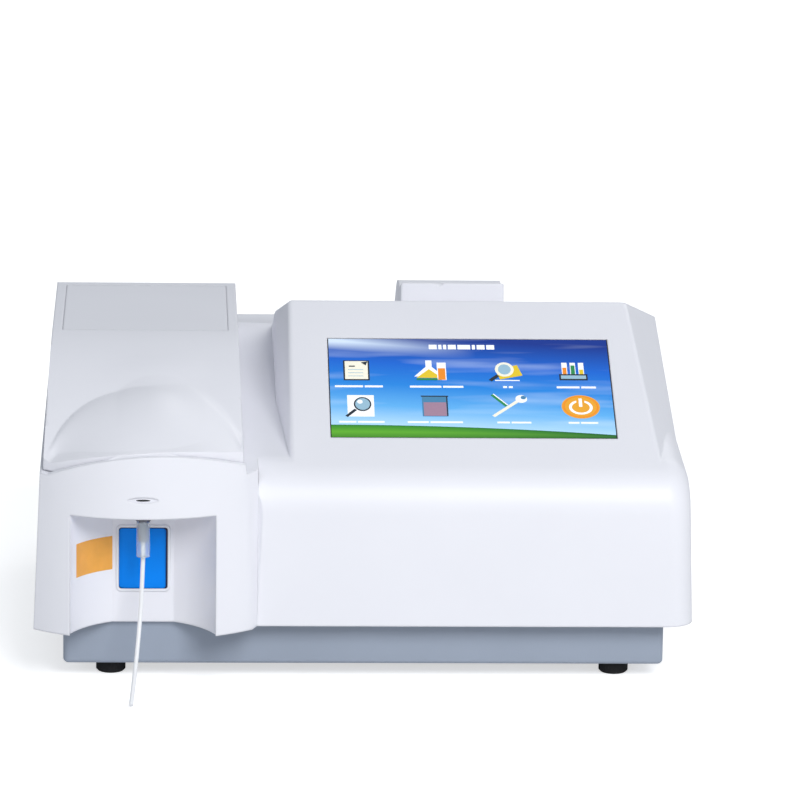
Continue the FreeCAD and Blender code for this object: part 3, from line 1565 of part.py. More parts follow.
# Screen: glass in the opening, display behind it, and the frame that holds both
glass_out = -size.cover_wall + size.glass_thick
module_out = -size.cover_wall - size.lcd_thick
piece("touch_glass", face_box("touch_glass", (screen_left, screen_low, -size.cover_wall),
                              (screen_right, screen_high, glass_out)))
margin = size.lcd_margin
piece("lcd_module", face_box("lcd_module", (screen_left - margin, screen_low - margin, module_out),
                             (screen_right + margin, screen_high + margin, -size.cover_wall)))
frame_x, frame_up = size.lcd_frame_width / 2, size.lcd_frame_height / 2
band = size.lcd_frame_band
bracket_out = module_out - size.steel_sheet
lcd_frame = face_box("lcd_frame", (size.screen_offset - frame_x, screen_middle - frame_up, bracket_out),
                     (size.screen_offset + frame_x, screen_middle + frame_up, module_out))
lcd_window = face_box("lcd_window", (size.screen_offset - frame_x + band, screen_middle - frame_up + band,
                                     bracket_out - 1),
                      (size.screen_offset + frame_x - band, screen_middle + frame_up - band, module_out + 1))
lcd_holes = [face_rod(f"lcd_hole_{corner}", x, up, bracket_out - 1, size.small_screw_radius + size.hole_gap,
                      size.steel_sheet + 2) for corner, (x, up) in SCREEN_BOSSES.items()]
piece("lcd_bracket", cut("lcd_bracket_form", lcd_frame, lcd_window, *lcd_holes))

# Printer door: a hollow cap over the roll, hinged behind it
door_left = size.printer_middle - size.door_width / 2
door_right = size.printer_middle + size.door_width / 2
axis_y, axis_z = size.door_axis_back, size.door_axis_height
skin = size.door_wall
knuckle = size.knuckle_radius
tail = as_size(30)
top_back = size.door_front + size.door_top_rake + size.door_top_length
door_block = prism("door_block", "YZ", door_left, door_right, [
    (size.door_front + size.skirt_set_back, size.skirt_bottom),
    (size.door_front + size.skirt_set_back, size.door_lip_height),
    (size.door_front, size.door_lip_height),
    (size.door_front + size.door_top_rake, size.door_top),
    (top_back, size.door_top),
    (axis_y + knuckle * cosine(tail), axis_z + knuckle * sine(tail), -size.door_back_radius),
    (axis_y, axis_z - knuckle, -knuckle),
    (axis_y - knuckle, axis_z - knuckle),
    (size.skirt_notch, size.skirt_bottom),
])
wrap = size.wrap_angle
inner_knuckle = knuckle - skin
outside_y = axis_y + 2 * knuckle
door_room = prism("door_room", "YZ", door_left + skin, door_right - skin, [
    (size.door_front - beyond, axis_z - 3 * knuckle),
    (size.door_front - beyond, size.door_lip_height),
    (size.door_front + skin, size.door_lip_height),
    (size.door_front + size.door_top_rake + skin, size.door_top - skin),
    (top_back, size.door_top - skin),
    (axis_y + inner_knuckle * cosine(tail), axis_z + inner_knuckle * sine(tail), -(size.door_back_radius - skin)),
    (axis_y + inner_knuckle * cosine(wrap), axis_z - inner_knuckle * sine(wrap), -inner_knuckle),
    (outside_y, axis_z - 2 * knuckle * tangent(wrap)),
    (outside_y, axis_z - 3 * knuckle),
])
skirt_inside = size.door_width / 2 - skin
platen_bore = rod("platen_bore", "X", (size.printer_middle - skirt_inside - size.pin_cap, size.platen_back,
                                       size.platen_height), size.platen_shaft_radius + size.running_gap,
                  2 * (skirt_inside + size.pin_cap))
door_bore = rod("door_bore", "X", (door_left - 1, axis_y, axis_z), size.door_pin_radius + size.running_gap,
                size.door_width + 2)
door_form = rounded("door_softened", door_block, size.door_edge,
                    lambda middle, along, edge: abs(along.x) < 0.5 and middle.z > size.door_lip_height.value + 1
                    and middle.y < top_back.value + 1)
piece("printer_door", cut("door_shell", door_form, door_room, platen_bore, door_bore))
piece("door_pin", rod("door_pin", "X", (door_left + size.part_gap, axis_y, axis_z), size.door_pin_radius,
                      size.door_width - 2 * size.part_gap))

# Platen roller with its gear, turned in one piece
half_platen = size.platen_length / 2
shaft_reach = skirt_inside + size.pin_cap - size.part_gap
gear_start = half_platen + size.part_gap
piece("platen_roller", lathe("platen_roller", "X", (size.printer_middle, size.platen_back, size.platen_height), [
    (0, -shaft_reach),
    (size.platen_shaft_radius, -shaft_reach),
    (size.platen_shaft_radius, -half_platen),
    (size.platen_radius, -half_platen),
    (size.platen_radius, half_platen),
    (size.platen_shaft_radius, half_platen),
    (size.platen_shaft_radius, gear_start),
    (size.platen_gear_radius, gear_start),
    (size.platen_gear_radius, gear_start + size.platen_gear_width),
    (size.platen_shaft_radius, gear_start + size.platen_gear_width),
    (size.platen_shaft_radius, shaft_reach),
    (0, shaft_reach),
]))

# Printer frame under the cover: cheeks, a trough for the roll, a front wall and the door's ears
cheek_inside = size.door_width / 2 + size.part_gap
cheek_outside = cheek_inside + size.bucket_wall
frame_front = size.platen_back - size.platen_radius - size.part_gap - size.head_thick - size.bucket_wall
trough_outer = size.roll_radius + size.bucket_gap + size.bucket_wall
trough_low = size.roll_middle_height - trough_outer
cheek_rear = size.roll_middle_back + trough_outer
frame_parts = []
for side, near in (("left", size.printer_middle - cheek_outside), ("right", size.printer_middle + cheek_inside)):
    frame_parts.append(prism(f"cheek_{side}", "YZ", near, near + size.bucket_wall, [
        (frame_front, trough_low),
        (cheek_rear, trough_low),
        (cheek_rear, back_at(cheek_rear, size.cover_wall)),
        (frame_front, back_at(frame_front, size.cover_wall)),
    ]))
left_x, right_x = size.printer_middle - cheek_outside, size.printer_middle + cheek_outside
roll_axis = (left_x, size.roll_middle_back, size.roll_middle_height)
trough = common("trough",
                rod("trough_round", "X", roll_axis, trough_outer, 2 * cheek_outside),
                box("trough_half", (left_x, size.roll_middle_back - trough_outer, trough_low),
                    (right_x, cheek_rear, size.roll_middle_height)))
frame_parts.append(trough)
head_top = size.platen_height + 1
frame_parts.append(box("frame_wall", (left_x, frame_front, trough_low),
                       (right_x, frame_front + size.bucket_wall, head_top)))
ear_reach = size.ear_radius
for side, sign in (("left", -1), ("right", 1)):
    near = skirt_inside - size.part_gap
    start = size.printer_middle + (near - size.ear_thick if sign > 0 else -near)
    frame_parts.append(rod(f"door_ear_{side}", "X", (start, axis_y, axis_z), ear_reach, size.ear_thick))
    frame_parts.append(prism(f"door_ear_web_{side}", "YZ", start, start + size.ear_thick, [
        (cheek_rear - size.bucket_wall, size.roll_middle_height - size.bucket_wall),
        (cheek_rear, size.roll_middle_height - size.bucket_wall),
        (axis_y, axis_z - ear_reach),
        (axis_y - ear_reach, axis_z),
    ]))
trough_room = rod("trough_room", "X", (size.printer_middle - cheek_inside, size.roll_middle_back,
                                       size.roll_middle_height), size.roll_radius + size.bucket_gap,
                  2 * cheek_inside)
ear_bore = rod("ear_bore", "X", (left_x, axis_y, axis_z), size.door_pin_radius, 2 * cheek_outside)
motor_y = size.platen_back + size.bucket_wall
piece("printer_frame", cut("printer_frame_form", fuse("printer_frame_parts", *frame_parts), trough_room, ear_bore))
piece("thermal_head", box("thermal_head", (size.printer_middle - half_platen, frame_front + size.bucket_wall,
                                           size.platen_height - size.head_height),
                          (size.printer_middle + half_platen,
                           size.platen_back - size.platen_radius - size.part_gap, head_top)))
roll_drop = size.bucket_gap
piece("paper_roll", lathe("paper_roll", "X", (size.printer_middle - size.roll_width / 2, size.roll_middle_back,
                                              size.roll_middle_height - roll_drop), [
    (size.roll_core_radius, 0),
    (size.roll_radius, 0),
    (size.roll_radius, size.roll_width),
    (size.roll_core_radius, size.roll_width),
]))
piece("printer_motor", lathe("printer_motor", "X", (left_x - size.step_motor_length, motor_y + size.step_motor_radius,
                                                    size.platen_height - 2 * size.step_motor_radius), [
    (0, 0),
    (size.step_motor_radius - 1, 0),
    (size.step_motor_radius, 1),
    (size.step_motor_radius, size.step_motor_length),
    (0, size.step_motor_length),
]))

# Optics on their base: lamp, filter wheel, lens, flow cell and detector in one line
optics_half = size.optics_width / 2
leg = size.leg_width
wheel_x = tower_middle + size.filter_circle
half_motor = size.motor_side / 2
base_parts = [box("optics_plate", (tower_middle - optics_half, size.optics_front, size.optics_bottom),
                  (wheel_x + half_motor, size.optics_rear, size.optics_top))]
for side, x in (("left", tower_middle - optics_half), ("right", wheel_x + half_motor - leg)):
    for end, y in (("front", size.optics_front), ("rear", size.optics_rear - leg)):
        base_parts.append(box(f"optics_leg_{side}_{end}", (x, y, tray_floor), (x + leg, y + leg, size.optics_bottom)))
motor_rear = size.wheel_front - size.motor_gap
motor_front = motor_rear - size.motor_length
base_parts.append(box("motor_pedestal", (wheel_x - half_motor, motor_front, size.optics_top),
                      (wheel_x + half_motor, motor_rear, size.light_height - half_motor)))
tube_rest_rear = size.lens_tube_front + size.lens_tube_length
tube_rest = box("lens_rest", (tower_middle - size.lens_tube_radius - size.steel_sheet, size.lens_tube_front + leg,
                              size.optics_top),
                (wheel_x - half_motor - size.part_gap, tube_rest_rear - leg, size.light_height))
tube_space = rod("lens_rest_bore", "Y", (tower_middle, size.lens_tube_front, size.light_height),
                 size.lens_tube_radius, size.lens_tube_length)
piece("optics_base", cut("optics_base_form", fuse("optics_base_parts", *base_parts, tube_rest), tube_space))

half_block = size.block_width / 2
light = (tower_middle, size.light_height)


def light_bore(name, start, stop, radius):
    """A bore along the light's path."""
    return rod(name, "Y", (tower_middle, start, size.light_height), radius, as_size(stop) - start)


detector_rear = size.holder_front - size.part_gap
detector_front = detector_rear - size.detector_length
piece("detector_block", cut(
    "detector_form",
    box("detector_body", (tower_middle - half_block, detector_front, size.optics_top),
        (tower_middle + half_block, detector_rear, size.block_top)),
    light_bore("detector_bore", detector_front + 3, detector_rear + 1, size.window_radius)))
holder_rear = size.holder_front + size.holder_length
cell_y = size.holder_front + size.holder_length / 2
half_cell, half_cell_length = size.cell_width / 2, size.cell_length / 2
gap = size.cell_gap
piece("cell_holder", cut(
    "cell_holder_form",
    box("cell_holder_body", (tower_middle - half_block, size.holder_front, size.optics_top),
        (tower_middle + half_block, holder_rear, size.block_top)),
    box("cell_pocket", (tower_middle - half_cell - gap, cell_y - half_cell_length - gap, size.cell_foot),
        (tower_middle + half_cell + gap, cell_y + half_cell_length + gap, size.block_top + 1)),
    light_bore("holder_bore", size.holder_front - 1, holder_rear + 1, size.window_radius)))
cell_bore = size.line_radius
nipples = []
nipple_bores = [light_bore("cell_light_path", cell_y - half_cell_length + 2, cell_y + half_cell_length - 2,
                           cell_bore)]
NIPPLES = {"inlet": cell_y - size.nipple_spread, "outlet": cell_y + size.nipple_spread}
for name, y in NIPPLES.items():
    nipples.append(rod(f"cell_{name}", "Z", (tower_middle, y, size.cell_top - 1), size.nipple_radius,
                       size.nipple_length + 1))
    nipple_bores.append(rod(f"cell_{name}_bore", "Z", (tower_middle, y, size.light_height), cell_bore / 2,
                            size.cell_top + size.nipple_length + 1 - size.light_height))
cell_block = box("cell_block", (tower_middle - half_cell, cell_y - half_cell_length, size.cell_foot),
                 (tower_middle + half_cell, cell_y + half_cell_length, size.cell_top))
piece("flow_cell", cut("flow_cell_form", fuse("flow_cell_body", cell_block, *nipples), *nipple_bores))

tube_inner = size.lens_tube_radius - size.lens_tube_wall
piece("lens_tube", lathe("lens_tube", "Y", (tower_middle, size.lens_tube_front, size.light_height), [
    (tube_inner, 0),
    (size.lens_tube_radius, 0),
    (size.lens_tube_radius, size.lens_tube_length),
    (tube_inner, size.lens_tube_length),
]))
lens_curve = (tube_inner * tube_inner + size.lens_bulge * size.lens_bulge) / (2 * size.lens_bulge)
piece("condenser_lens", lathe("condenser_lens", "Y", (tower_middle, size.lens_tube_front + 2, size.light_height), [
    (0, 0),
    (tube_inner, size.lens_bulge, lens_curve),
    (tube_inner, size.lens_length - size.lens_bulge),
    (0, size.lens_length, lens_curve),
]))

wheel = lathe("filter_wheel", "Y", (wheel_x, size.wheel_front, size.light_height), [
    (0, -size.motor_gap - size.motor_shaft_length),
    (size.motor_shaft_radius, -size.motor_gap - size.motor_shaft_length),
    (size.motor_shaft_radius, -size.part_gap),
    (size.wheel_radius - 1, -size.part_gap),
    (size.wheel_radius, -size.part_gap + 1),
    (size.wheel_radius, size.wheel_thick),
    (2 * size.motor_shaft_radius, size.wheel_thick),
    (2 * size.motor_shaft_radius, size.wheel_thick + 2),
    (0, size.wheel_thick + 2),
])
hole_sketch = body_sketch(wheel, "filter_hole_outline", "XY")
draw_circle(hole_sketch, -size.filter_circle, 0, size.filter_radius)
filter_hole = wheel.newObject("PartDesign::Pocket", "filter_hole")
filter_hole.Profile = hole_sketch
filter_hole.Midplane = True
bind(filter_hole, "Length", 3 * size.wheel_thick)
spin(wheel, "filter_holes", filter_hole, size.filter_count)
piece("filter_wheel", wheel)
glasses = doc.addObject("PartDesign::Body", "filter_glass_body")
glass_disc = pad(glasses, "filter_glass", "XY", size.part_gap, size.wheel_thick - 1,
                 (-size.filter_circle, 0, size.filter_radius))
spin(glasses, "filter_glass_ring", glass_disc, size.filter_count)
glasses.Placement.Rotation = AXIS_TURNS["Y"]
piece("filter_glasses", place(glasses, wheel_x, size.wheel_front, size.light_height))
piece("filter_motor", cut(
    "filter_motor_form",
    plate("filter_motor_case", "XZ", motor_front, motor_rear,
          around(wheel_x, size.light_height, size.motor_side, size.motor_side, 0, size.motor_corner)),
    rod("filter_motor_bore", "Y", (wheel_x, motor_rear - size.motor_shaft_length - size.part_gap,
                                   size.light_height),
        size.motor_shaft_radius + size.running_gap, size.motor_shaft_length + 1)))

house_rear = size.lamp_house_front + size.lamp_house_length
half_house = size.lamp_house_width / 2
thick = size.lamp_house_wall
fins = []
for row in range(6):
    y = size.lamp_house_front + size.fin_pitch * (row + 0.75)
    for side, x in (("left", tower_middle - half_house - 1), ("right", tower_middle + half_house - size.fin_depth)):
        fins.append(box(f"fin_groove_{side}_{row}", (x, y, size.optics_top + thick),
                        (x + size.fin_depth + 1, y + size.fin_pitch / 2, size.cell_top + 1)))
piece("lamp_house", cut(
    "lamp_house_form",
    box("lamp_house_body", (tower_middle - half_house, size.lamp_house_front, size.optics_top),
        (tower_middle + half_house, house_rear, size.cell_top)),
    box("lamp_room", (tower_middle - half_house + thick + size.fin_depth, size.lamp_house_front + thick,
                      size.optics_top + thick),
        (tower_middle + half_house - thick - size.fin_depth, house_rear - thick, size.cell_top - thick)),
    box("lamp_vent", (tower_middle - thick, size.lamp_house_front + 2 * thick, size.cell_top - thick - 1),
        (tower_middle + thick, house_rear - 2 * thick, size.cell_top + 1)),
    light_bore("lamp_window", size.lamp_house_front - 1, size.lamp_house_front + thick + 1, size.window_radius),
    light_bore("lamp_seat", house_rear - thick - 1, house_rear + 1, size.lamp_base_radius), *fins))
lamp_start = house_rear - thick - size.bulb_length
piece("lamp", lathe("lamp", "Y", (tower_middle, lamp_start, size.light_height), [
    (0, 0),
    (size.bulb_radius, size.bulb_radius, size.bulb_radius + 0.5),
    (size.bulb_radius, size.bulb_length - 2),
    (size.lamp_base_radius, size.bulb_length - 2),
    (size.lamp_base_radius, size.bulb_length + thick + 2),
    (0, size.bulb_length + thick + 2),
]))

# Peristaltic pump on its bracket: three rollers squeeze the tube against the bore
pump_y = case_front + size.pump_set_back
plate_low = size.pump_plate_height
plate_high = plate_low + sheet_steel
half_plate_x, half_plate_y = size.pump_plate_width / 2, size.pump_plate_length / 2
pump_legs = []
for side, x in (("left", tower_middle - half_plate_x), ("right", tower_middle + half_plate_x - leg)):
    for end, y in (("front", pump_y - half_plate_y), ("rear", pump_y + half_plate_y - leg)):
        pump_legs.append(box(f"pump_leg_{side}_{end}", (x, y, tray_floor), (x + leg, y + leg, plate_low)))
pump_top_plate = plate("pump_plate", "XY", plate_low, plate_high,
                       rectangle(tower_middle - half_plate_x, pump_y - half_plate_y, tower_middle + half_plate_x,
                                 pump_y + half_plate_y),
                       [(tower_middle, pump_y, 2 * size.motor_shaft_radius)])
piece("pump_bracket", fuse("pump_bracket_form", pump_top_plate, *pump_legs))
tube_circle = size.pump_bore_radius - size.pump_tube_radius
rotor_low = plate_high + size.pump_floor + size.part_gap
roller_low = rotor_low + size.carrier_thick
roller_high = plate_high + size.pump_height - size.carrier_thick - size.part_gap
tube_z = (roller_low + roller_high) / 2
exit_slots = [box(f"pump_exit_{end}", (tower_middle, pump_y + sign * tube_circle - size.pump_tube_radius - gap,
                                       tube_z - size.pump_tube_radius - gap),
                  (tower_middle + size.pump_radius + 1,
                   pump_y + sign * tube_circle + size.pump_tube_radius + gap, plate_high + size.pump_height + 1))
              for end, sign in (("front", -1), ("rear", 1))]
pump_case = lathe("pump_case", "Z", (tower_middle, pump_y, plate_high), [
    (2 * size.motor_shaft_radius, 0),
    (size.pump_radius, 0),
    (size.pump_radius, size.pump_height),
    (size.pump_bore_radius, size.pump_height),
    (size.pump_bore_radius, size.pump_floor),
    (2 * size.motor_shaft_radius, size.pump_floor),
])
piece("pump_body", cut("pump_body_form", pump_case, *exit_slots))
hub = 2 * size.motor_shaft_radius
shaft_low = plate_low - size.motor_shaft_length
carrier = lathe("pump_carrier", "Z", (tower_middle, pump_y, rotor_low), [
    (0, shaft_low - rotor_low),
    (size.motor_shaft_radius, shaft_low - rotor_low),
    (size.motor_shaft_radius, 0),
    (size.carrier_radius, 0),
    (size.carrier_radius, size.carrier_thick),
    (hub, size.carrier_thick),
    (hub, roller_high - rotor_low),
    (size.carrier_radius, roller_high - rotor_low),
    (size.carrier_radius, roller_high - rotor_low + size.carrier_thick),
    (0, roller_high - rotor_low + size.carrier_thick),
])
roller_pin = pad(carrier, "roller_pin", "XY", size.carrier_thick / 2, roller_high - rotor_low + 1,
                 (size.roller_circle, 0, size.roller_pin_radius))
spin(carrier, "roller_pins", roller_pin, size.roller_count)
piece("pump_rotor", carrier)
for number in range(3):
    angle = as_size(120 * number)
    piece(f"pump_roller_{number + 1}", lathe(
        f"pump_roller_{number + 1}", "Z",
        (tower_middle + size.roller_circle * cosine(angle), pump_y + size.roller_circle * sine(angle),
         roller_low + size.part_gap), [
            (size.roller_pin_radius + size.running_gap, 0),
            (size.roller_radius, 0),
            (size.roller_radius, roller_high - roller_low - 2 * size.part_gap),
            (size.roller_pin_radius + size.running_gap, roller_high - roller_low - 2 * size.part_gap),
        ]))
motor_low = plate_low - size.pump_motor_length
piece("pump_motor", lathe("pump_motor", "Z", (tower_middle, pump_y, motor_low), [
    (0, 0),
    (size.pump_motor_radius - 1, 0),
    (size.pump_motor_radius, 1),
    (size.pump_motor_radius, size.pump_motor_length),
    (size.motor_shaft_radius + size.running_gap, size.pump_motor_length),
    (size.motor_shaft_radius + size.running_gap, size.pump_motor_length - size.motor_shaft_length
     - size.part_gap),
    (0, size.pump_motor_length - size.motor_shaft_length - size.part_gap),
]))
ring = doc.addObject("Part::Torus", "pump_tube_ring")
bind(ring, "Radius1", tube_circle)
bind(ring, "Radius2", size.pump_tube_radius)
ring.Angle3 = 180
ring.Placement.Rotation = FreeCAD.Rotation(FreeCAD.Vector(0, 0, 1), 90)
place(ring, tower_middle, pump_y, tube_z)
tube_ends = [rod(f"pump_tube_{end}", "X", (tower_middle, pump_y + sign * tube_circle, tube_z),
                 size.pump_tube_radius, size.pump_radius + size.tube_tail)
             for end, sign in (("front", -1), ("rear", 1))]
piece("pump_tube", fuse("pump_tube_form", ring, *tube_ends))

# Fluid lines: from the sipper to the flow cell, on to the pump, and out to the rear
line = size.line_radius
tail_x = tower_middle + size.pump_radius + size.tube_tail
stem_top = size.visor_height + size.stem_length
nipple_top = size.cell_top + size.nipple_length
bend = 4 * line
sample_line = hose("sample_line", [
    (tower_middle, sipper_y, stem_top),
    (tower_middle, sipper_y, stem_top + bend + 1),
    (tower_middle, well_front + size.nut_height, plate_high + size.pump_height + 2 * line),
    (tower_middle, NIPPLES["inlet"], nipple_top + bend + 1),
    (tower_middle, NIPPLES["inlet"], nipple_top),
], line, bend)
pump_line = hose("pump_line", [
    (tower_middle, NIPPLES["outlet"], nipple_top),
    (tower_middle, NIPPLES["outlet"], nipple_top + 2 * bend),
    (tail_x + 2 * bend, NIPPLES["outlet"] - bend, nipple_top + bend),
    (tail_x + 2 * bend, pump_y + tube_circle, tube_z),
    (tail_x, pump_y + tube_circle, tube_z),
], line, bend)
side_x = tower_middle - half_plate_x - size.hose_clearance
low_run = size.tray_top + 2 * line
turn_y = panel_back - reach_in - 6 * bend
waste_line = hose("waste_line", [
    (tail_x, pump_y - tube_circle, tube_z),
    (tail_x + 3 * bend, pump_y - tube_circle, tube_z),
    (tail_x + 3 * bend, pump_y, low_run),
    (side_x, pump_y, low_run),
    (side_x, turn_y, low_run),
    (side_x, turn_y + bend, size.outlet_height),
    (size.outlet_middle, panel_back - reach_in - 2 * bend, size.outlet_height),
    (size.outlet_middle, panel_back - reach_in, size.outlet_height),
], line, bend)
piece("fluid_lines", fuse("fluid_line_set", sample_line, pump_line, waste_line))

# Main board on the tray's studs, and the power supply
board_low = tray_floor + size.standoff_height
board_high = board_low + size.board_thick
board_plate = plate("board_plate", "XY", board_low, board_high,
                    rectangle(-size.board_left, -size.board_front, size.board_right, size.board_rear,
                              size.steel_sheet),
                    [(x, y, size.small_screw_radius + size.hole_gap) for x, y in BOARD_SCREWS.values()])
chips = [
    box("processor", (-size.board_left / 3, -size.board_front / 2, board_high),
        (-size.board_left / 3 + size.chip_side, -size.board_front / 2 + size.chip_side,
         board_high + size.chip_thick)),
    box("memory", (-size.board_left / 3, -size.board_front / 2 + 1.5 * size.chip_side, board_high),
        (-size.board_left / 3 + size.chip_side, -size.board_front / 2 + 2 * size.chip_side,
         board_high + size.chip_thick)),
    box("display_socket", (size.board_inset, -size.board_front + size.board_inset, board_high),
        (size.board_inset + 2 * size.chip_side, -size.board_front + size.board_inset + size.socket_width,
         board_high + size.socket_height)),
    box("power_socket", (size.board_right - size.board_inset - size.socket_width, -size.chip_side, board_high),
        (size.board_right - size.board_inset, size.chip_side, board_high + size.socket_height)),
]
for row in range(3):
    chips.append(rod(f"board_capacitor_{row}", "Z",
                     (size.board_right - 2 * size.chip_side,
                      -size.board_front / 2 + row * 3 * size.capacitor_radius, board_high),
                     size.capacitor_radius, size.capacitor_height))
piece("main_board", fuse("main_board_form", board_plate, *chips))

supply_right = size.supply_left + size.supply_width
supply_rear = size.supply_front + size.supply_length
supply_top = tray_floor + size.supply_height
supply_box = box("supply_case", (size.supply_left, size.supply_front, tray_floor),
                 (supply_right, supply_rear, supply_top))
supply_room = box("supply_room", (size.supply_left + sheet_steel, size.supply_front + sheet_steel,
                                  tray_floor + sheet_steel),
                  (supply_right - sheet_steel, supply_rear - sheet_steel, supply_top - sheet_steel))
supply_slots = [box(f"supply_slot_{row}",
                    (size.supply_left + 2 * size.vent_pitch,
                     size.supply_front + size.vent_pitch * (row + 1), supply_top - sheet_steel - 1),
                    (supply_right - 2 * size.vent_pitch,
                     size.supply_front + size.vent_pitch * (row + 1) + size.vent_width, supply_top + 1))
                for row in range(6)]
transformer = box("supply_transformer", (size.supply_left + size.vent_pitch, size.supply_front + size.vent_pitch,
                                         tray_floor + sheet_steel / 2),
                  (supply_right - 3 * size.vent_pitch, size.supply_front + 4 * size.vent_pitch,
                   supply_top - 2 * size.capacitor_radius))
supply_capacitor = rod("supply_capacitor", "Z", (supply_right - 2 * size.capacitor_radius - sheet_steel,
                                                 supply_rear - 2 * size.vent_pitch, tray_floor + sheet_steel / 2),
                       1.5 * size.capacitor_radius, 2 * size.capacitor_height)
piece("power_supply", fuse("power_supply_form", cut("supply_shell", supply_box, supply_room, *supply_slots),
                           transformer, supply_capacitor))

doc.recompute()
for thing in doc.Objects:
    if "Invalid" in thing.State or "Error" in thing.State:
        raise RuntimeError(f"{thing.Name} failed: {thing.State} {thing.getStatusString()}")
for thing in PIECES:
    if thing.Shape.isNull() or not thing.Shape.isValid():
        raise RuntimeError(f"{thing.Label} has no valid shape")
os.makedirs("parts", exist_ok=True)
for thing in PIECES:
    thing.Shape.exportStep(f"parts/{thing.Label}.step")
    print(f"{thing.Label}: {len(thing.Shape.Solids)} solid, {thing.Shape.Volume / 1000:.2f} cubic centimetres")
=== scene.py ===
# %% [markdown]
# # A portable chemistry analyzer
# The real object is a white moulded case on a grey steel tray, with a touch screen, a printer pod
# behind it and a tower on the left, where a needle draws the sample in. The CAD model is loaded
# first and gives every place, so each piece below is put where the CAD says.

# %% Load the frame
import bpy
import json
import math
from mathutils import Matrix, Vector
from mathutils.bvhtree import BVHTree

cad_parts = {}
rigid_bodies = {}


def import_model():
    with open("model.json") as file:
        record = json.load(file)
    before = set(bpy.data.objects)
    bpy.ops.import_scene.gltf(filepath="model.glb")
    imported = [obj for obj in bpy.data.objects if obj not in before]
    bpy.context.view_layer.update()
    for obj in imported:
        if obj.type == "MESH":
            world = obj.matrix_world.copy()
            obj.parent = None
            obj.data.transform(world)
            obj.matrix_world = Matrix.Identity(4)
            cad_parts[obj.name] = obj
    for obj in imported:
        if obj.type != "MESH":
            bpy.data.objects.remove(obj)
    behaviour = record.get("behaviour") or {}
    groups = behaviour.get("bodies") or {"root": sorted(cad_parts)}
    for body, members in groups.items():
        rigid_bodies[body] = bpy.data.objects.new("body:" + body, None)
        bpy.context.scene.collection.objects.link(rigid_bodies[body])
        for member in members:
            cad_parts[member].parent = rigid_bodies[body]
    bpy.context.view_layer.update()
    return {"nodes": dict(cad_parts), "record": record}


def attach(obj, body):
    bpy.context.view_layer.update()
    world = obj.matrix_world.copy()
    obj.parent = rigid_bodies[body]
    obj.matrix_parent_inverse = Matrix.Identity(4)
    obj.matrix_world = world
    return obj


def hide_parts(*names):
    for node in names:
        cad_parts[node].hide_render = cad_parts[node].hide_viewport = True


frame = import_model()
nodes = frame["nodes"]
body_of = {node: body for body, members in frame["record"]["behaviour"]["bodies"].items() for node in members}

# %% [markdown]
# The camera stands 2.7 m in front of the object with a long lens, as for a catalogue picture. Its
# place, its two angles and its slight roll were solved from the corners that the picture shows.

# %% Camera
CAMERA_PLACE = Vector((-0.106352, -2.643, 0.775))
CAMERA_YAW = math.radians(2.8014)
CAMERA_PITCH = math.radians(13.7654)
CAMERA_ROLL = math.radians(0.95143)
CAMERA_LENS = 219.16
SENSOR_WIDE = 36
SEEN_TO = 60
CASE_MIDDLE = Vector((0, 0, 0.09))

ahead = Vector((
    math.sin(CAMERA_YAW) * math.cos(CAMERA_PITCH),
    math.cos(CAMERA_YAW) * math.cos(CAMERA_PITCH),
    -math.sin(CAMERA_PITCH),
))
level = Vector((math.cos(CAMERA_YAW), -math.sin(CAMERA_YAW), 0))
upward = level.cross(ahead)
camera_right = level * math.cos(CAMERA_ROLL) + upward * math.sin(CAMERA_ROLL)
camera_up = upward * math.cos(CAMERA_ROLL) - level * math.sin(CAMERA_ROLL)
bpy.ops.object.camera_add(location=CAMERA_PLACE)
camera = bpy.context.object
turned = Matrix((camera_right, camera_up, -ahead)).transposed().to_4x4()
camera.matrix_world = Matrix.Translation(CAMERA_PLACE) @ turned
camera.data.lens = CAMERA_LENS
camera.data.sensor_width = SENSOR_WIDE
camera.data.clip_end = SEEN_TO
bpy.context.scene.camera = camera
print("camera to object", round((CAMERA_PLACE - CASE_MIDDLE).length, 3), "m")

# %% [markdown]
# The picture was lit from the front, a little from above, in a white room: the front of the case is
# nearly white, its flat tops are a tone darker and its flanks a clear grey. One wide soft lamp does
# this, with an even pale world for the rest and a weak lamp behind, so that the back can be seen.

# %% Lamps and world
LAMP_AIM = Vector((0, 0, 0.1))
ROOM_TINT = (0.87, 0.93, 1.0, 1)
WORLD_LEVEL = 0.42


def soft_lamp(name, place, size, power):
    """A square lamp that looks at the middle of the object: its size in metres, its power in watts."""
    bpy.ops.object.light_add(type="AREA", location=place)
    lamp = bpy.context.object
    lamp.name = name
    lamp.data.size = size
    lamp.data.energy = power
    lamp.rotation_euler = (LAMP_AIM - Vector(place)).to_track_quat("-Z", "Y").to_euler()


soft_lamp("front_lamp", place=(0.78, -2.38, 1.95), size=1.3, power=55)
soft_lamp("back_lamp", place=(0.9, 2.2, 1.5), size=1.2, power=8)

world = bpy.data.worlds.new("pale_room")
bpy.context.scene.world = world
world.use_nodes = True
world_nodes = world.node_tree.nodes
world_links = world.node_tree.links
room_light = world_nodes["Background"]
room_light.inputs["Color"].default_value = ROOM_TINT
room_light.inputs["Strength"].default_value = WORLD_LEVEL
seen_room = world_nodes.new("ShaderNodeBackground")
seen_room.inputs["Color"].default_value = (1, 1, 1, 1)
seen_room.inputs["Strength"].default_value = 1
ray = world_nodes.new("ShaderNodeLightPath")
room_mix = world_nodes.new("ShaderNodeMixShader")
world_links.new(ray.outputs["Is Camera Ray"], room_mix.inputs[0])
world_links.new(room_light.outputs[0], room_mix.inputs[1])
world_links.new(seen_room.outputs[0], room_mix.inputs[2])
world_links.new(room_mix.outputs[0], world_nodes["World Output"].inputs["Surface"])
bpy.context.scene.view_settings.view_transform = "Standard"
print("lamps", len(bpy.data.lights))

# %% [markdown]
# The floor is a wide white sheet. It glows a little on camera, so that it reads as white, and still
# keeps the soft shadow under the case.

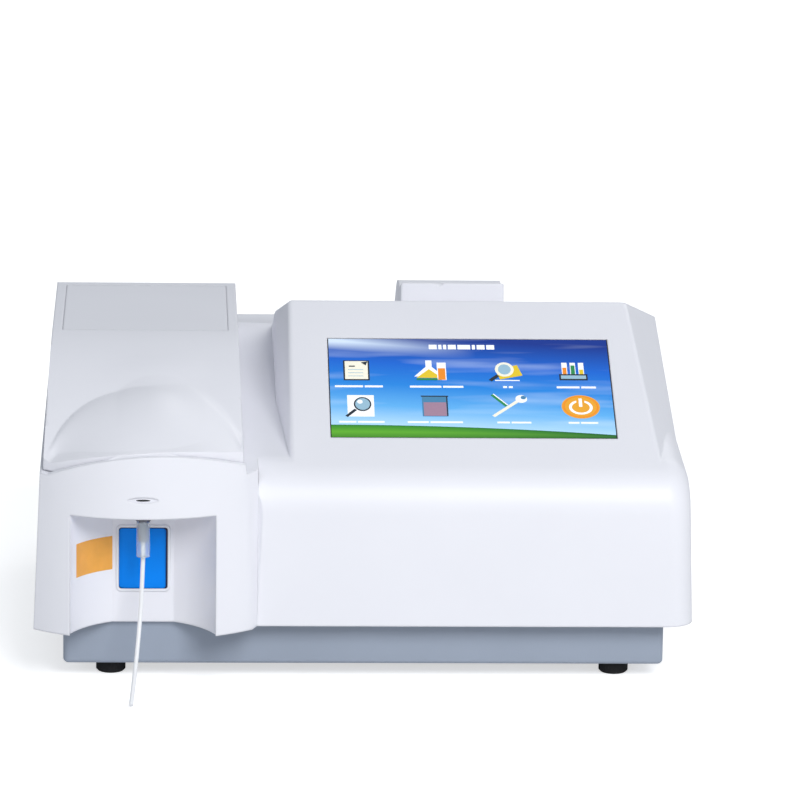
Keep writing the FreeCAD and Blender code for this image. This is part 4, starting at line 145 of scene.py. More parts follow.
# %% Floor
FLOOR_SIZE = 30
FLOOR_MIDDLE = (0, 8, 0)
FLOOR_TONE = (0.9, 0.9, 0.9, 1)
FLOOR_ROUGH = 0.9
FLOOR_GLOW = 0.6

bpy.ops.mesh.primitive_plane_add(size=FLOOR_SIZE, location=FLOOR_MIDDLE)
floor = bpy.context.object
floor.name = "floor"
floor_sheet = bpy.data.materials.new("floor_sheet")
floor_sheet.use_nodes = True
floor_shader = floor_sheet.node_tree.nodes["Principled BSDF"]
floor_shader.inputs["Base Color"].default_value = FLOOR_TONE
floor_shader.inputs["Roughness"].default_value = FLOOR_ROUGH
floor_shader.inputs["Emission Color"].default_value = (1, 1, 1, 1)
floor_ray = floor_sheet.node_tree.nodes.new("ShaderNodeLightPath")
floor_glow = floor_sheet.node_tree.nodes.new("ShaderNodeMath")
floor_glow.operation = "MULTIPLY"
floor_glow.inputs[1].default_value = FLOOR_GLOW
floor_sheet.node_tree.links.new(floor_ray.outputs["Is Camera Ray"], floor_glow.inputs[0])
floor_sheet.node_tree.links.new(floor_glow.outputs[0], floor_shader.inputs["Emission Strength"])
floor.data.materials.append(floor_sheet)

# %% [markdown]
# ## Finishes
# Nearly every finish here is a colour with faint clouds in it and a fine grain in its bump: moulded
# plastic has a satin grain, powder coat an orange peel, zinc plate a soft mottle. One function
# makes them all, and each finish then only says how large and how deep its grain is. A bevel node
# rounds the light on sharp CAD edges, as a mould or a brake press would round the edge itself.

# %% Finishes
CLOUD_DARK, CLOUD_LIGHT = 0.3, 0.7
CLOUD_DETAIL, GRAIN_DETAIL = 3, 2
LEAST_ROUGH, ROUGH_SPREAD = 0.02, 0.06
BUMP_SHARE = 0.4
EDGE_SAMPLES = 6


def tone(red, green, blue):
    """The shader's colour for a colour that is read off a picture as 0 to 255."""
    shares = [channel / 255 for channel in (red, green, blue)]
    return tuple(s / 12.92 if s <= 0.04045 else ((s + 0.055) / 1.055) ** 2.4 for s in shares) + (1,)


def finish(name, colour, rough, clouds=0.04, cloud_size=0.05, grain=0.0006, depth=0.06,
           metal=0.0, edge=0.0, gloss=0.5):
    """A node material: clouds is how far its colour varies, grain the size of its bumps in metres."""
    made = bpy.data.materials.new(name)
    made.use_nodes = True
    made.diffuse_color = colour
    tree = made.node_tree
    shader = tree.nodes["Principled BSDF"]
    shader.inputs["Metallic"].default_value = metal
    shader.inputs["Specular IOR Level"].default_value = gloss
    place = tree.nodes.new("ShaderNodeTexCoord")
    cloud = tree.nodes.new("ShaderNodeTexNoise")
    cloud.inputs["Scale"].default_value = 1 / cloud_size
    cloud.inputs["Detail"].default_value = CLOUD_DETAIL
    tree.links.new(place.outputs["Object"], cloud.inputs["Vector"])
    tint = tree.nodes.new("ShaderNodeValToRGB")
    darker = tuple(max(0, c * (1 - clouds)) for c in colour[:3]) + (1,)
    lighter = tuple(min(1, c * (1 + clouds)) for c in colour[:3]) + (1,)
    tint.color_ramp.elements[0].position = CLOUD_DARK
    tint.color_ramp.elements[0].color = darker
    tint.color_ramp.elements[1].position = CLOUD_LIGHT
    tint.color_ramp.elements[1].color = lighter
    tree.links.new(cloud.outputs["Fac"], tint.inputs["Fac"])
    tree.links.new(tint.outputs["Color"], shader.inputs["Base Color"])
    fine = tree.nodes.new("ShaderNodeTexNoise")
    fine.inputs["Scale"].default_value = 1 / grain
    fine.inputs["Detail"].default_value = GRAIN_DETAIL
    tree.links.new(place.outputs["Object"], fine.inputs["Vector"])
    shine = tree.nodes.new("ShaderNodeMapRange")
    shine.inputs["To Min"].default_value = max(LEAST_ROUGH, rough - ROUGH_SPREAD)
    shine.inputs["To Max"].default_value = min(1, rough + ROUGH_SPREAD)
    tree.links.new(fine.outputs["Fac"], shine.inputs["Value"])
    tree.links.new(shine.outputs["Result"], shader.inputs["Roughness"])
    bump = tree.nodes.new("ShaderNodeBump")
    bump.inputs["Strength"].default_value = depth
    bump.inputs["Distance"].default_value = grain * BUMP_SHARE
    tree.links.new(fine.outputs["Fac"], bump.inputs["Height"])
    if edge:
        rounding = tree.nodes.new("ShaderNodeBevel")
        rounding.samples = EDGE_SAMPLES
        rounding.inputs["Radius"].default_value = edge
        tree.links.new(rounding.outputs["Normal"], bump.inputs["Normal"])
    tree.links.new(bump.outputs["Normal"], shader.inputs["Normal"])
    return made


def clear(name, colour, rough, index, through):
    """A finish that light passes through, such as glass or clear plastic."""
    made = finish(name, colour, rough, clouds=0.01, grain=0.002, depth=0.02)
    shader = made.node_tree.nodes["Principled BSDF"]
    shader.inputs["Transmission Weight"].default_value = through
    shader.inputs["IOR"].default_value = index
    return made


WHITE_SKIN = {"colour": tone(240, 240, 246), "rough": 0.42, "clouds": 0.008, "grain": 0.0007, "depth": 0.03}
case_white = finish("case_white", edge=0.0015, **WHITE_SKIN)
dome_white = finish("dome_white", **WHITE_SKIN)
tray_grey = finish("tray_grey", tone(158, 168, 184), 0.5, clouds=0.03, grain=0.0009, depth=0.16,
                   edge=0.0006)
panel_grey = finish("panel_grey", tone(205, 208, 214), 0.5, clouds=0.02, grain=0.0009, depth=0.16,
                    edge=0.0004)
key_blue = finish("key_blue", tone(0, 136, 246), 0.34, clouds=0.04, cloud_size=0.02, grain=0.0008,
                  depth=0.03, edge=0.0008, gloss=0.14)
# painted shadow: a dark blue for the shade that falls in the gap along the key's top and right edge
painted_gap_shadow = finish("painted_gap_shadow", tone(6, 20, 58), 0.6, clouds=0.05, cloud_size=0.004, depth=0.05)
amber_film = finish("amber_film", tone(243, 172, 74), 0.34, clouds=0.05, cloud_size=0.008, depth=0.03)
foot_rubber = finish("foot_rubber", tone(22, 22, 24), 0.8, clouds=0.25, cloud_size=0.006, grain=0.0008,
                     depth=0.3, edge=0.0005)
black_mould = finish("black_mould", tone(30, 30, 33), 0.5, clouds=0.1, cloud_size=0.02, depth=0.2,
                     edge=0.0003)
zinc_plate = finish("zinc_plate", tone(190, 192, 198), 0.34, clouds=0.12, cloud_size=0.008, grain=0.0012,
                    depth=0.08, metal=1.0, edge=0.0002)
dark_nut = finish("dark_nut", tone(112, 112, 120), 0.35, clouds=0.2, cloud_size=0.002, depth=0.2, metal=0.8)
turned_metal = finish("turned_metal", tone(200, 203, 210), 0.3, clouds=0.06, cloud_size=0.004,
                      grain=0.0005, depth=0.08, metal=1.0, edge=0.0002)
cast_metal = finish("cast_metal", tone(186, 188, 192), 0.45, clouds=0.08, cloud_size=0.01, grain=0.001,
                    depth=0.25, metal=1.0, edge=0.0004)
black_anodised = finish("black_anodised", tone(40, 41, 44), 0.38, clouds=0.12, cloud_size=0.01,
                        depth=0.12, metal=0.7, edge=0.0003)
white_mould = finish("white_mould", tone(226, 226, 220), 0.45, clouds=0.03, cloud_size=0.02, grain=0.0008,
                     depth=0.08, edge=0.0003)
thermal_paper = finish("thermal_paper", tone(243, 243, 238), 0.85, clouds=0.02, cloud_size=0.01,
                       grain=0.0004, depth=0.12)
silicone = finish("silicone", tone(222, 222, 212), 0.45, clouds=0.03, cloud_size=0.01, grain=0.0009,
                  depth=0.05)
needle_white = finish("needle_white", tone(246, 247, 249), 0.35, clouds=0.015, cloud_size=0.004,
                      grain=0.0005, depth=0.03)
board_green = finish("board_green", tone(18, 96, 58), 0.35, clouds=0.25, cloud_size=0.004, grain=0.0012,
                     depth=0.2, edge=0.0002)
clear_plastic = clear("clear_plastic", tone(240, 246, 250), rough=0.14, index=1.3, through=0.8)
milky_plastic = clear("milky_plastic", tone(244, 250, 254), rough=0.12, index=1.14, through=0.74)
clear_glass = clear("clear_glass", tone(240, 246, 248), rough=0.03, index=1.5, through=0.95)
filter_tint = clear("filter_tint", tone(120, 160, 210), rough=0.05, index=1.5, through=0.7)
print("finishes", len(bpy.data.materials))

# %% [markdown]
# ## Small helpers
# Blender's operators act on what is selected, so each helper first selects its one piece. A piece is
# drawn where that is easy, its modifiers are applied, and in the end its mesh lies in place with the
# object at the origin, on the body that it moves with.

# %% Helpers
EDGE_LIMIT = math.radians(26)


def deselect():
    """Nothing is selected, so the next operator acts only on what is chosen for it."""
    if bpy.context.object and bpy.context.object.mode != "OBJECT":
        bpy.ops.object.mode_set(mode="OBJECT")
    bpy.ops.object.select_all(action="DESELECT")


def choose(piece):
    """Only this piece is selected and active."""
    deselect()
    piece.select_set(True)
    bpy.context.view_layer.objects.active = piece


def paint(piece, material):
    """The piece has this material and no other."""
    piece.data.materials.clear()
    piece.data.materials.append(material)


def smooth(piece, limit=EDGE_LIMIT):
    """Smooth shading across faces that meet at less than the limit."""
    choose(piece)
    bpy.ops.object.shade_smooth_by_angle(angle=limit)


def set_down(piece):
    """The piece's place goes into its mesh, and its object stands at the origin."""
    choose(piece)
    bpy.ops.object.transform_apply(location=True, rotation=True, scale=True)


def work(piece, kind, **values):
    """The mesh of the piece goes through one modifier of this kind."""
    modifier = piece.modifiers.new(kind, kind)
    for name, value in values.items():
        setattr(modifier, name, value)
    choose(piece)
    bpy.ops.object.modifier_apply(modifier=modifier.name)


def dress(piece, material, body, limit=EDGE_LIMIT):
    """Shading, finish and body of a finished piece."""
    smooth(piece, limit)
    paint(piece, material)
    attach(piece, body)


def slab(name, middle, sides, rounding):
    """A box with slightly rounded edges."""
    bpy.ops.mesh.primitive_cube_add(size=1)
    made = bpy.context.object
    made.name = name
    made.scale = sides
    made.location = middle
    set_down(made)
    work(made, "BEVEL", width=rounding, segments=2)
    return made


# %% [markdown]
# ## The CAD pieces
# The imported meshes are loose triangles, so light breaks at every one of them on a curved wall.
# Each piece that shows gets a merged copy: its doubled corners are joined, its flat fields become
# single faces again, and its shading is smooth except across real edges. The copy then stands for
# the CAD node.

# %% Merged copies
SAME_POINT = 1e-6
FLAT_LIMIT = math.radians(0.4)


def merged_copy(node, material):
    """A copy of a CAD node with joined corners and smooth curves, which stands for the node."""
    mesh = nodes[node].data.copy()
    made = bpy.data.objects.new(f"{node}_skin", mesh)
    bpy.context.scene.collection.objects.link(made)
    choose(made)
    if mesh.has_custom_normals:
        bpy.ops.mesh.customdata_custom_splitnormals_clear()
    bpy.ops.object.mode_set(mode="EDIT")
    bpy.ops.mesh.select_all(action="SELECT")
    bpy.ops.mesh.remove_doubles(threshold=SAME_POINT)
    bpy.ops.mesh.dissolve_limited(angle_limit=FLAT_LIMIT)
    bpy.ops.object.mode_set(mode="OBJECT")
    smooth(made)
    paint(made, material)
    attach(made, body_of[node])
    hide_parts(node)
    return made


SHOWN = {
    "top_cover": case_white, "tower_lid": case_white, "printer_door": case_white,
    "base_tray": tray_grey, "rear_panel": panel_grey, "aspirate_key": key_blue,
    "foot_front_left": foot_rubber, "foot_front_right": foot_rubber,
    "foot_rear_left": foot_rubber, "foot_rear_right": foot_rubber,
    "sipper_nut": dark_nut, "sipper_barrel": turned_metal, "sipper_sleeve": milky_plastic,
    "power_inlet": black_mould, "switch_frame": black_mould, "power_rocker": black_mould,
    "fan_frame": black_mould, "fan_rotor": black_mould, "fan_guard": zinc_plate,
    "serial_port": zinc_plate, "usb_ports": zinc_plate, "waste_outlet": white_mould,
    "pump_body": white_mould, "pump_rotor": black_mould, "pump_tube": silicone,
    "fluid_lines": silicone, "pump_roller_1": white_mould, "pump_roller_2": white_mould,
    "pump_roller_3": white_mould, "filter_wheel": black_anodised, "filter_glasses": filter_tint,
    "lens_tube": black_anodised, "condenser_lens": clear_glass, "flow_cell": clear_plastic,
    "lamp": clear_glass, "filter_motor": zinc_plate, "pump_motor": zinc_plate,
    "printer_motor": zinc_plate, "platen_roller": foot_rubber, "paper_roll": thermal_paper,
    "case_screws": zinc_plate, "foot_screws": zinc_plate,
}
skins = {node: merged_copy(node, material) for node, material in SHOWN.items()}
print("merged copies", len(skins), "faces", sum(len(skin.data.polygons) for skin in skins.values()))

# %% [markdown]
# The other CAD nodes are flat-sided sheet metal, blocks and boards. Their meshes are right as they
# are, so they only get their finish.

# %% Nodes that stay
PLAIN = {
    "lid_bracket": zinc_plate, "lid_pins": turned_metal, "key_guide": zinc_plate,
    "key_switch": black_mould, "touch_glass": black_mould, "lcd_module": zinc_plate,
    "lcd_bracket": zinc_plate, "door_pin": turned_metal, "printer_frame": black_mould,
    "thermal_head": cast_metal, "optics_base": cast_metal, "detector_block": black_anodised,
    "cell_holder": black_anodised, "lamp_house": cast_metal, "pump_bracket": zinc_plate,
    "main_board": board_green, "power_supply": zinc_plate,
}
for node, material in PLAIN.items():
    paint(nodes[node], material)
dressed = set(SHOWN) | set(PLAIN) | {"sipper_tube"}
print("without a finish", sorted(set(nodes) - dressed))

# %% [markdown]
# ## The needle's tube
# A thin white tube hangs out of the sleeve and down to the bench in front of the case, where the
# sample cup would be held. It is a soft curve on the same points as the CAD hose, in metres. The
# curve cuts its corners a little, so it is a share shorter than the way from point to point.

# %% Sipper tube
TUBE_RADIUS = 0.00115
TUBE_STEPS_ALONG, TUBE_STEPS_ROUND = 16, 5
TUBE_POINTS = [
    (-0.1195, -0.135, 0.0734), (-0.12, -0.1354, 0.057), (-0.1209, -0.139, 0.0405),
    (-0.1223, -0.1475, 0.025), (-0.1239, -0.16, 0.0115), (-0.1254, -0.174, 0.0022),
]
tube_line = bpy.data.curves.new("sipper_line", "CURVE")
tube_line.dimensions = "3D"
run = tube_line.splines.new("NURBS")
run.points.add(len(TUBE_POINTS) - 1)
for point, place in zip(run.points, TUBE_POINTS):
    point.co = (*place, 1)
run.order_u = 3
run.use_endpoint_u = True
tube_line.resolution_u = TUBE_STEPS_ALONG
tube_line.bevel_depth = TUBE_RADIUS
tube_line.bevel_resolution = TUBE_STEPS_ROUND
tube_line.use_fill_caps = True
sipper_line = bpy.data.objects.new("sipper_line", tube_line)
bpy.context.scene.collection.objects.link(sipper_line)
sipper_line.data.materials.append(needle_white)
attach(sipper_line, "case")
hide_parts("sipper_tube")

# %% [markdown]
# ## The screen
# The touch panel lies in a window of the tilted console. Its glass is a CAD node, so the lit
# picture is a thin sheet on the glass: a blue sky that is deep at the top right and pale below,
# with a bright streak at the top left, over a green hill. The sky and the hill are one material,
# made from the sheet's own UV map.

# %% Places on the console
CONSOLE_TILT = math.radians(25)
CONSOLE_START = Vector((0, -0.1124, 0.1182))
ACROSS_THE_FACE = Vector((1, 0, 0))
UP_THE_FACE = Vector((0, math.cos(CONSOLE_TILT), math.sin(CONSOLE_TILT)))
OUT_OF_THE_FACE = Vector((0, -math.sin(CONSOLE_TILT), math.cos(CONSOLE_TILT)))
MM = 0.001
LAYER_STEP = 0.00004

glass_corners = [corner.co - CONSOLE_START for corner in nodes["touch_glass"].data.vertices]
glass_level = max(corner.dot(OUT_OF_THE_FACE) for corner in glass_corners)
glass_low = min(corner.dot(UP_THE_FACE) for corner in glass_corners)
glass_left = min(corner.dot(ACROSS_THE_FACE) for corner in glass_corners)
WIDE = (max(corner.dot(ACROSS_THE_FACE) for corner in glass_corners) - glass_left) / MM
TALL = (max(corner.dot(UP_THE_FACE) for corner in glass_corners) - glass_low) / MM
print("screen", round(WIDE, 1), "by", round(TALL, 1), "mm, glass at", round(glass_level / MM, 2))


def lay_on_glass(piece, layer):
    """A piece drawn flat in mm, x across and y up from the screen's low left corner, goes on the glass."""
    out = glass_level + LAYER_STEP * layer
    start = CONSOLE_START + ACROSS_THE_FACE * glass_left + UP_THE_FACE * glass_low + OUT_OF_THE_FACE * out
    place = Matrix((ACROSS_THE_FACE, UP_THE_FACE, OUT_OF_THE_FACE)).transposed().to_4x4()
    piece.data.transform(Matrix.Translation(start) @ place @ Matrix.Scale(MM, 4))


# %% Picture
# The margin is in mm. The other places are shares of the picture, counted from its low left corner.
PICTURE_MARGIN = 0.3
SCREEN_ROUGH = 0.12
SCREEN_GLOW = 0.3
SKY_LEAN = 0.12
WISP_SIZE = 1.7
WISP_STRETCH = (0.9, 4.2, 1)
WISP_LEAN = math.radians(7)
WISP_START = (0.35, 0.2, 0)
WISP_STRENGTH = 1.2
STREAK_HIGH, STREAK_FALL = 0.985, -0.22
STREAK_SHARP, STREAK_FADE = -9.5, -1.9
STREAK_MOST = 0.85
HILL_HIGH, HILL_FALL = 0.125, -0.092
HILL_SHADE = 0.8

bpy.ops.mesh.primitive_plane_add(size=1)
picture = bpy.context.object
picture.name = "screen_picture"
picture.scale = (WIDE - 2 * PICTURE_MARGIN, TALL - 2 * PICTURE_MARGIN, 1)
picture.location = (WIDE / 2, TALL / 2, 0)
set_down(picture)
lay_on_glass(picture, 1)

sky = bpy.data.materials.new("lit_sky")
sky.use_nodes = True
tree = sky.node_tree
shader = tree.nodes["Principled BSDF"]
shader.inputs["Roughness"].default_value = SCREEN_ROUGH
shader.inputs["Emission Strength"].default_value = SCREEN_GLOW
across_up = tree.nodes.new("ShaderNodeUVMap")
across_up.uv_map = picture.data.uv_layers[0].name
split = tree.nodes.new("ShaderNodeSeparateXYZ")
tree.links.new(across_up.outputs["UV"], split.inputs["Vector"])
across = split.outputs["X"]
up = split.outputs["Y"]


def mathematics(operation, first, second=None, third=None):
    """One Math node: each input is a number or another node's output."""
    node = tree.nodes.new("ShaderNodeMath")
    node.operation = operation
    for place, value in enumerate((first, second, third)):
        if value is None:
            continue
        if isinstance(value, (int, float)):
            node.inputs[place].default_value = value
        else:
            tree.links.new(value, node.inputs[place])
    return node.outputs[0]


def mixed(share, first, second):
    """A colour between two others; each is a colour or a node's output."""
    node = tree.nodes.new("ShaderNodeMix")
    node.data_type = "RGBA"
    tree.links.new(share, node.inputs["Factor"])
    for socket, value in ((node.inputs[6], first), (node.inputs[7], second)):
        if isinstance(value, tuple):
            socket.default_value = value
        else:
            tree.links.new(value, socket)
    return node.outputs[2]


def ramp(value, stops):
    """A colour for a number, from a list of places and colours."""
    node = tree.nodes.new("ShaderNodeValToRGB")
    while len(node.color_ramp.elements) < len(stops):
        node.color_ramp.elements.new(0.5)
    for element, (place, colour) in zip(node.color_ramp.elements, stops):
        element.position = place
        element.color = colour
    tree.links.new(value, node.inputs["Fac"])
    return node.outputs["Color"]


height = mathematics("MULTIPLY_ADD", across, SKY_LEAN, up)
height = mathematics("SUBTRACT", height, SKY_LEAN / 2)
blue = ramp(height, [
    (0.1, tone(168, 210, 240)), (0.28, tone(92, 170, 230)), (0.5, tone(30, 128, 214)),
    (0.72, tone(8, 96, 200)), (0.98, tone(2, 46, 136)),
])
wisp_noise = tree.nodes.new("ShaderNodeTexNoise")
wisp_noise.inputs["Scale"].default_value = WISP_SIZE
wisp_noise.inputs["Detail"].default_value = 2
stretched = tree.nodes.new("ShaderNodeMapping")
stretched.inputs["Location"].default_value = WISP_START
stretched.inputs["Scale"].default_value = WISP_STRETCH
stretched.inputs["Rotation"].default_value = (0, 0, WISP_LEAN)
tree.links.new(across_up.outputs["UV"], stretched.inputs["Vector"])
tree.links.new(stretched.outputs["Vector"], wisp_noise.inputs["Vector"])
wisps = mathematics("SUBTRACT", wisp_noise.outputs["Fac"], 0.5)
wisps = mathematics("MULTIPLY", wisps, WISP_STRENGTH)
streak_line = mathematics("MULTIPLY_ADD", across, STREAK_FALL, STREAK_HIGH)
off_line = mathematics("ABSOLUTE", mathematics("SUBTRACT", up, streak_line))
streak = mathematics("MAXIMUM", mathematics("MULTIPLY_ADD", off_line, STREAK_SHARP, 1), 0)
fade = mathematics("MAXIMUM", mathematics("MULTIPLY_ADD", across, STREAK_FADE, 1), 0)
streak = mathematics("MULTIPLY", streak, fade)
streak = mathematics("MINIMUM", mathematics("MAXIMUM", streak, wisps), STREAK_MOST)
blue = mixed(streak, blue, tone(222, 238, 252))
hill_line = mathematics("MULTIPLY_ADD", mathematics("MULTIPLY", across, across), HILL_FALL, HILL_HIGH)
on_hill = mathematics("GREATER_THAN", hill_line, up)
grass = ramp(mathematics("DIVIDE", up, hill_line), [
    (0.0, tone(64, 132, 32)), (0.45, tone(92, 168, 40)), (0.9, tone(54, 138, 34)), (1.0, tone(30, 108, 44)),
])
hill_shade = mathematics("MULTIPLY", mathematics("POWER", across, 2.0), HILL_SHADE)
grass = mixed(hill_shade, grass, tone(8, 74, 40))
scene_colour = mixed(on_hill, blue, grass)
tree.links.new(scene_colour, shader.inputs["Base Color"])
tree.links.new(scene_colour, shader.inputs["Emission Color"])
paint(picture, sky)
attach(picture, "case")

# %% [markdown]
# The menu on the screen has two rows of four small pictures. They are plain signs of what a
# laboratory menu has: a report, two flasks, a lens, a rack of tubes, a search, a beaker, tools and
# a power sign. Each is built from flat circles, squares and triangles that lie one on the other,
# a few hundredths of a millimetre apart. Short bars stand where captions are.

# %% Inks
DOT_SCALE = 900
DOT_SHADE = 0.9


def ink(name, colour):
    """A lit colour of the screen, with the dot pattern of the display faintly in it."""
    made = bpy.data.materials.new(name)
    made.use_nodes = True
    made.diffuse_color = colour
    nodes_of_ink = made.node_tree.nodes
    lit = nodes_of_ink["Principled BSDF"]
    lit.inputs["Roughness"].default_value = SCREEN_ROUGH
    lit.inputs["Emission Strength"].default_value = SCREEN_GLOW
    dots = nodes_of_ink.new("ShaderNodeTexNoise")
    dots.inputs["Scale"].default_value = DOT_SCALE
    shade = nodes_of_ink.new("ShaderNodeValToRGB")
    shade.color_ramp.elements[0].color = tuple(c * DOT_SHADE for c in colour[:3]) + (1,)
    shade.color_ramp.elements[1].color = colour
    where = nodes_of_ink.new("ShaderNodeTexCoord")
    link = made.node_tree.links
    link.new(where.outputs["Object"], dots.inputs["Vector"])
    link.new(dots.outputs["Fac"], shade.inputs["Fac"])
    link.new(shade.outputs["Color"], lit.inputs["Base Color"])
    link.new(shade.outputs["Color"], lit.inputs["Emission Color"])
    return made


WHITE_INK = ink("white_ink", tone(250, 252, 255))
CREAM_INK = ink("cream_ink", tone(244, 240, 222))
DARK_INK = ink("dark_ink", tone(36, 44, 54))
YELLOW_INK = ink("yellow_ink", tone(226, 196, 40))
ORANGE_INK = ink("orange_ink", tone(238, 140, 34))
GOLD_INK = ink("gold_ink", tone(232, 164, 44))
GREEN_INK = ink("green_ink", tone(40, 136, 76))
LENS_INK = ink("lens_ink", tone(150, 186, 206))
ROSE_INK = ink("rose_ink", tone(160, 128, 150))
TEAL_INK = ink("teal_ink", tone(70, 130, 170))


# %% Tiles
WORD_GAP = 0.9


def tile(sides, middle, wide, tall, colour, layer, turn=0.0):
    """A flat tile on the glass, in mm: four sides make a box, three a wedge, many an oval."""
    reach = 0.5 / math.cos(math.pi / 4) if sides == 4 else 0.5
    bpy.ops.mesh.primitive_circle_add(vertices=sides, radius=reach, fill_type="NGON")
    made = bpy.context.object
    if sides == 4:
        made.data.transform(Matrix.Rotation(math.pi / 4, 4, "Z"))
    made.data.transform(Matrix.Diagonal((wide, tall, 1, 1)))
    made.data.transform(Matrix.Rotation(math.radians(turn), 4, "Z"))
    made.data.transform(Matrix.Translation((middle[0], middle[1], 0)))
    lay_on_glass(made, layer)
    made.data.materials.append(colour)
    return made


def sign(name, tiles):
    """The tiles of one picture become one piece on the glass."""
    deselect()
    for part in tiles:
        part.select_set(True)
    bpy.context.view_layer.objects.active = tiles[0]
    bpy.ops.object.join()
    made = bpy.context.object
    made.name = name
    set_down(made)
    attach(made, "case")


def bars(name, left, right, up, thick, words):
    """A caption or a title as a row of short bars with gaps between them."""
    made = []
    start = left
    share = (right - left) / sum(words)
    for word in words:
        wide = share * word - WORD_GAP
        made.append(tile(4, (start + wide / 2, up), wide, thick, WHITE_INK, 3))
        start += share * word
    sign(name, made)


# %% Menu
# Each picture is drawn in mm round its own middle, x across and y up.
high_row, low_row = TALL * 0.672, TALL * 0.315
columns = [WIDE * share for share in (0.098, 0.367, 0.628, 0.868)]

x, y = columns[0], high_row
sign("menu_report", [
    tile(4, (x, y), 14.4, 17.6, DARK_INK, 2),
    tile(4, (x, y + 0.2), 12.6, 15.8, CREAM_INK, 3),
    tile(4, (x - 2.4, y + 3.6), 3.4, 1.0, DARK_INK, 4),
    *[tile(4, (x - 0.4, y + rise), 8.4, 0.5, LENS_INK, 4) for rise in (0.6, -2.2, -5.0)],
    tile(3, (x + 4.7, y + 6.4), 4.4, 4.4, DARK_INK, 5, turn=-45),
])
x = columns[1]
sign("menu_flasks", [
    tile(4, (x - 1.8, y + 5.4), 3.4, 7.4, WHITE_INK, 2),
    tile(3, (x - 1.8, y - 1.6), 19, 14.4, WHITE_INK, 3),
    tile(3, (x - 1.8, y - 3.8), 16.4, 10.4, YELLOW_INK, 4),
    tile(4, (x + 5.2, y - 0.6), 5.0, 15.4, WHITE_INK, 5),
    tile(4, (x + 5.2, y - 3.0), 4.0, 10.2, ORANGE_INK, 6),
    tile(4, (x - 1.8, y - 7.6), 14.0, 1.6, GREEN_INK, 5),
])
x = columns[2]
sign("menu_control", [
    tile(4, (x + 1.6, y - 1.0), 13.0, 9.6, YELLOW_INK, 2, turn=16),
    tile(32, (x - 0.6, y + 1.4), 10.4, 12.6, CREAM_INK, 3),
    tile(32, (x - 0.6, y + 1.4), 7.0, 9.0, LENS_INK, 4),
    tile(4, (x - 6.6, y - 6.2), 6.4, 2.2, DARK_INK, 5, turn=46),
    tile(4, (x + 0.6, y - 8.4), 13.6, 0.9, WHITE_INK, 5),
])
x = columns[3]
sign("menu_rack", [
    tile(4, (x, y - 5.2), 15.6, 5.4, DARK_INK, 5),
    tile(4, (x, y - 5.2), 13.8, 3.0, LENS_INK, 6),
    *[tile(4, (x + shift, y + 1.0), 3.0, 13.4, WHITE_INK, 2) for shift in (-4.6, 0, 4.6)],
    tile(4, (x - 4.6, y - 0.6), 2.2, 7.8, ORANGE_INK, 3),
    tile(4, (x, y + 0.4), 2.2, 9.8, GREEN_INK, 3),
    tile(4, (x + 4.6, y - 1.4), 2.2, 6.2, YELLOW_INK, 3),
])
x, y = columns[0] + 1.6, low_row
sign("menu_search", [
    tile(4, (x, y), 14.6, 18.6, WHITE_INK, 2),
    tile(4, (x - 5.4, y - 6.2), 8.0, 1.8, DARK_INK, 3, turn=50),
    tile(32, (x + 1.0, y + 1.4), 9.6, 12.2, DARK_INK, 4),
    tile(32, (x + 1.0, y + 1.4), 8.0, 10.2, LENS_INK, 5),
    tile(32, (x - 0.4, y + 3.4), 3.0, 3.4, WHITE_INK, 6),
])
x = columns[1] + 0.4
sign("menu_beaker", [
    tile(4, (x, y), 14.0, 17.8, TEAL_INK, 2),
    tile(4, (x, y - 2.6), 12.4, 11.8, ROSE_INK, 3),
    tile(4, (x, y + 8.6), 15.0, 0.9, DARK_INK, 4),
    tile(4, (x + 6.7, y), 0.7, 17.0, DARK_INK, 4),
])
x = columns[2] + 0.4
sign("menu_tools", [
    tile(4, (x - 0.6, y - 0.6), 23.0, 2.0, CREAM_INK, 2, turn=44),
    tile(32, (x + 7.0, y + 6.6), 6.4, 6.8, WHITE_INK, 3),
    tile(32, (x + 8.2, y + 7.8), 3.0, 3.2, TEAL_INK, 4),
    tile(4, (x - 5.0, y + 5.4), 12.4, 2.2, GREEN_INK, 5, turn=-52),
    tile(4, (x - 4.4, y + 5.8), 12.4, 0.7, WHITE_INK, 6, turn=-52),
])
x = columns[3] + 2.4
sign("menu_power", [
    tile(48, (x, y), 21.0, 20.4, GOLD_INK, 2),
    tile(48, (x, y), 19.4, 18.8, ORANGE_INK, 3),
    tile(48, (x, y), 17.6, 17.0, GOLD_INK, 4),
    tile(48, (x, y - 0.6), 13.0, 12.4, WHITE_INK, 5),
    tile(48, (x, y - 0.6), 9.8, 9.2, GOLD_INK, 6),
    tile(4, (x, y + 4.6), 4.4, 5.2, GOLD_INK, 7),
    tile(4, (x, y + 3.4), 1.8, 7.2, WHITE_INK, 8),
])

# %% Captions and title
# Each caption has the shares of the screen's width where it starts and stops, and its words' lengths.
HIGH_CAPTIONS = ((0.02, 0.195, (3, 2)), (0.285, 0.48, (3, 2)), (0.615, 0.655, (1, 1)), (0.805, 0.95, (3, 2)))
LOW_CAPTIONS = ((0.03, 0.195, (2, 3)), (0.27, 0.47, (2, 3)), (0.585, 0.71, (2, 3)), (0.835, 0.945, (2, 3)))
CAPTION_ROWS = {"high": (TALL * 0.51, 1.7, HIGH_CAPTIONS), "low": (TALL * 0.155, 1.5, LOW_CAPTIONS)}
TITLE_WORDS = (2, 1, 1, 2, 3, 1, 2, 2)

for row, (up_there, thick, captions) in CAPTION_ROWS.items():
    for number, (start, stop, words) in enumerate(captions, start=1):
        bars(f"caption_{row}_{number}", WIDE * start, WIDE * stop, up_there, thick, words)
bars("menu_title", WIDE * 0.36, WIDE * 0.6, TALL * 0.915, 4.0, TITLE_WORDS)
screen_pieces = [piece for piece in bpy.data.objects if piece.name.startswith(("menu", "caption"))]
print("screen pieces", len(screen_pieces))

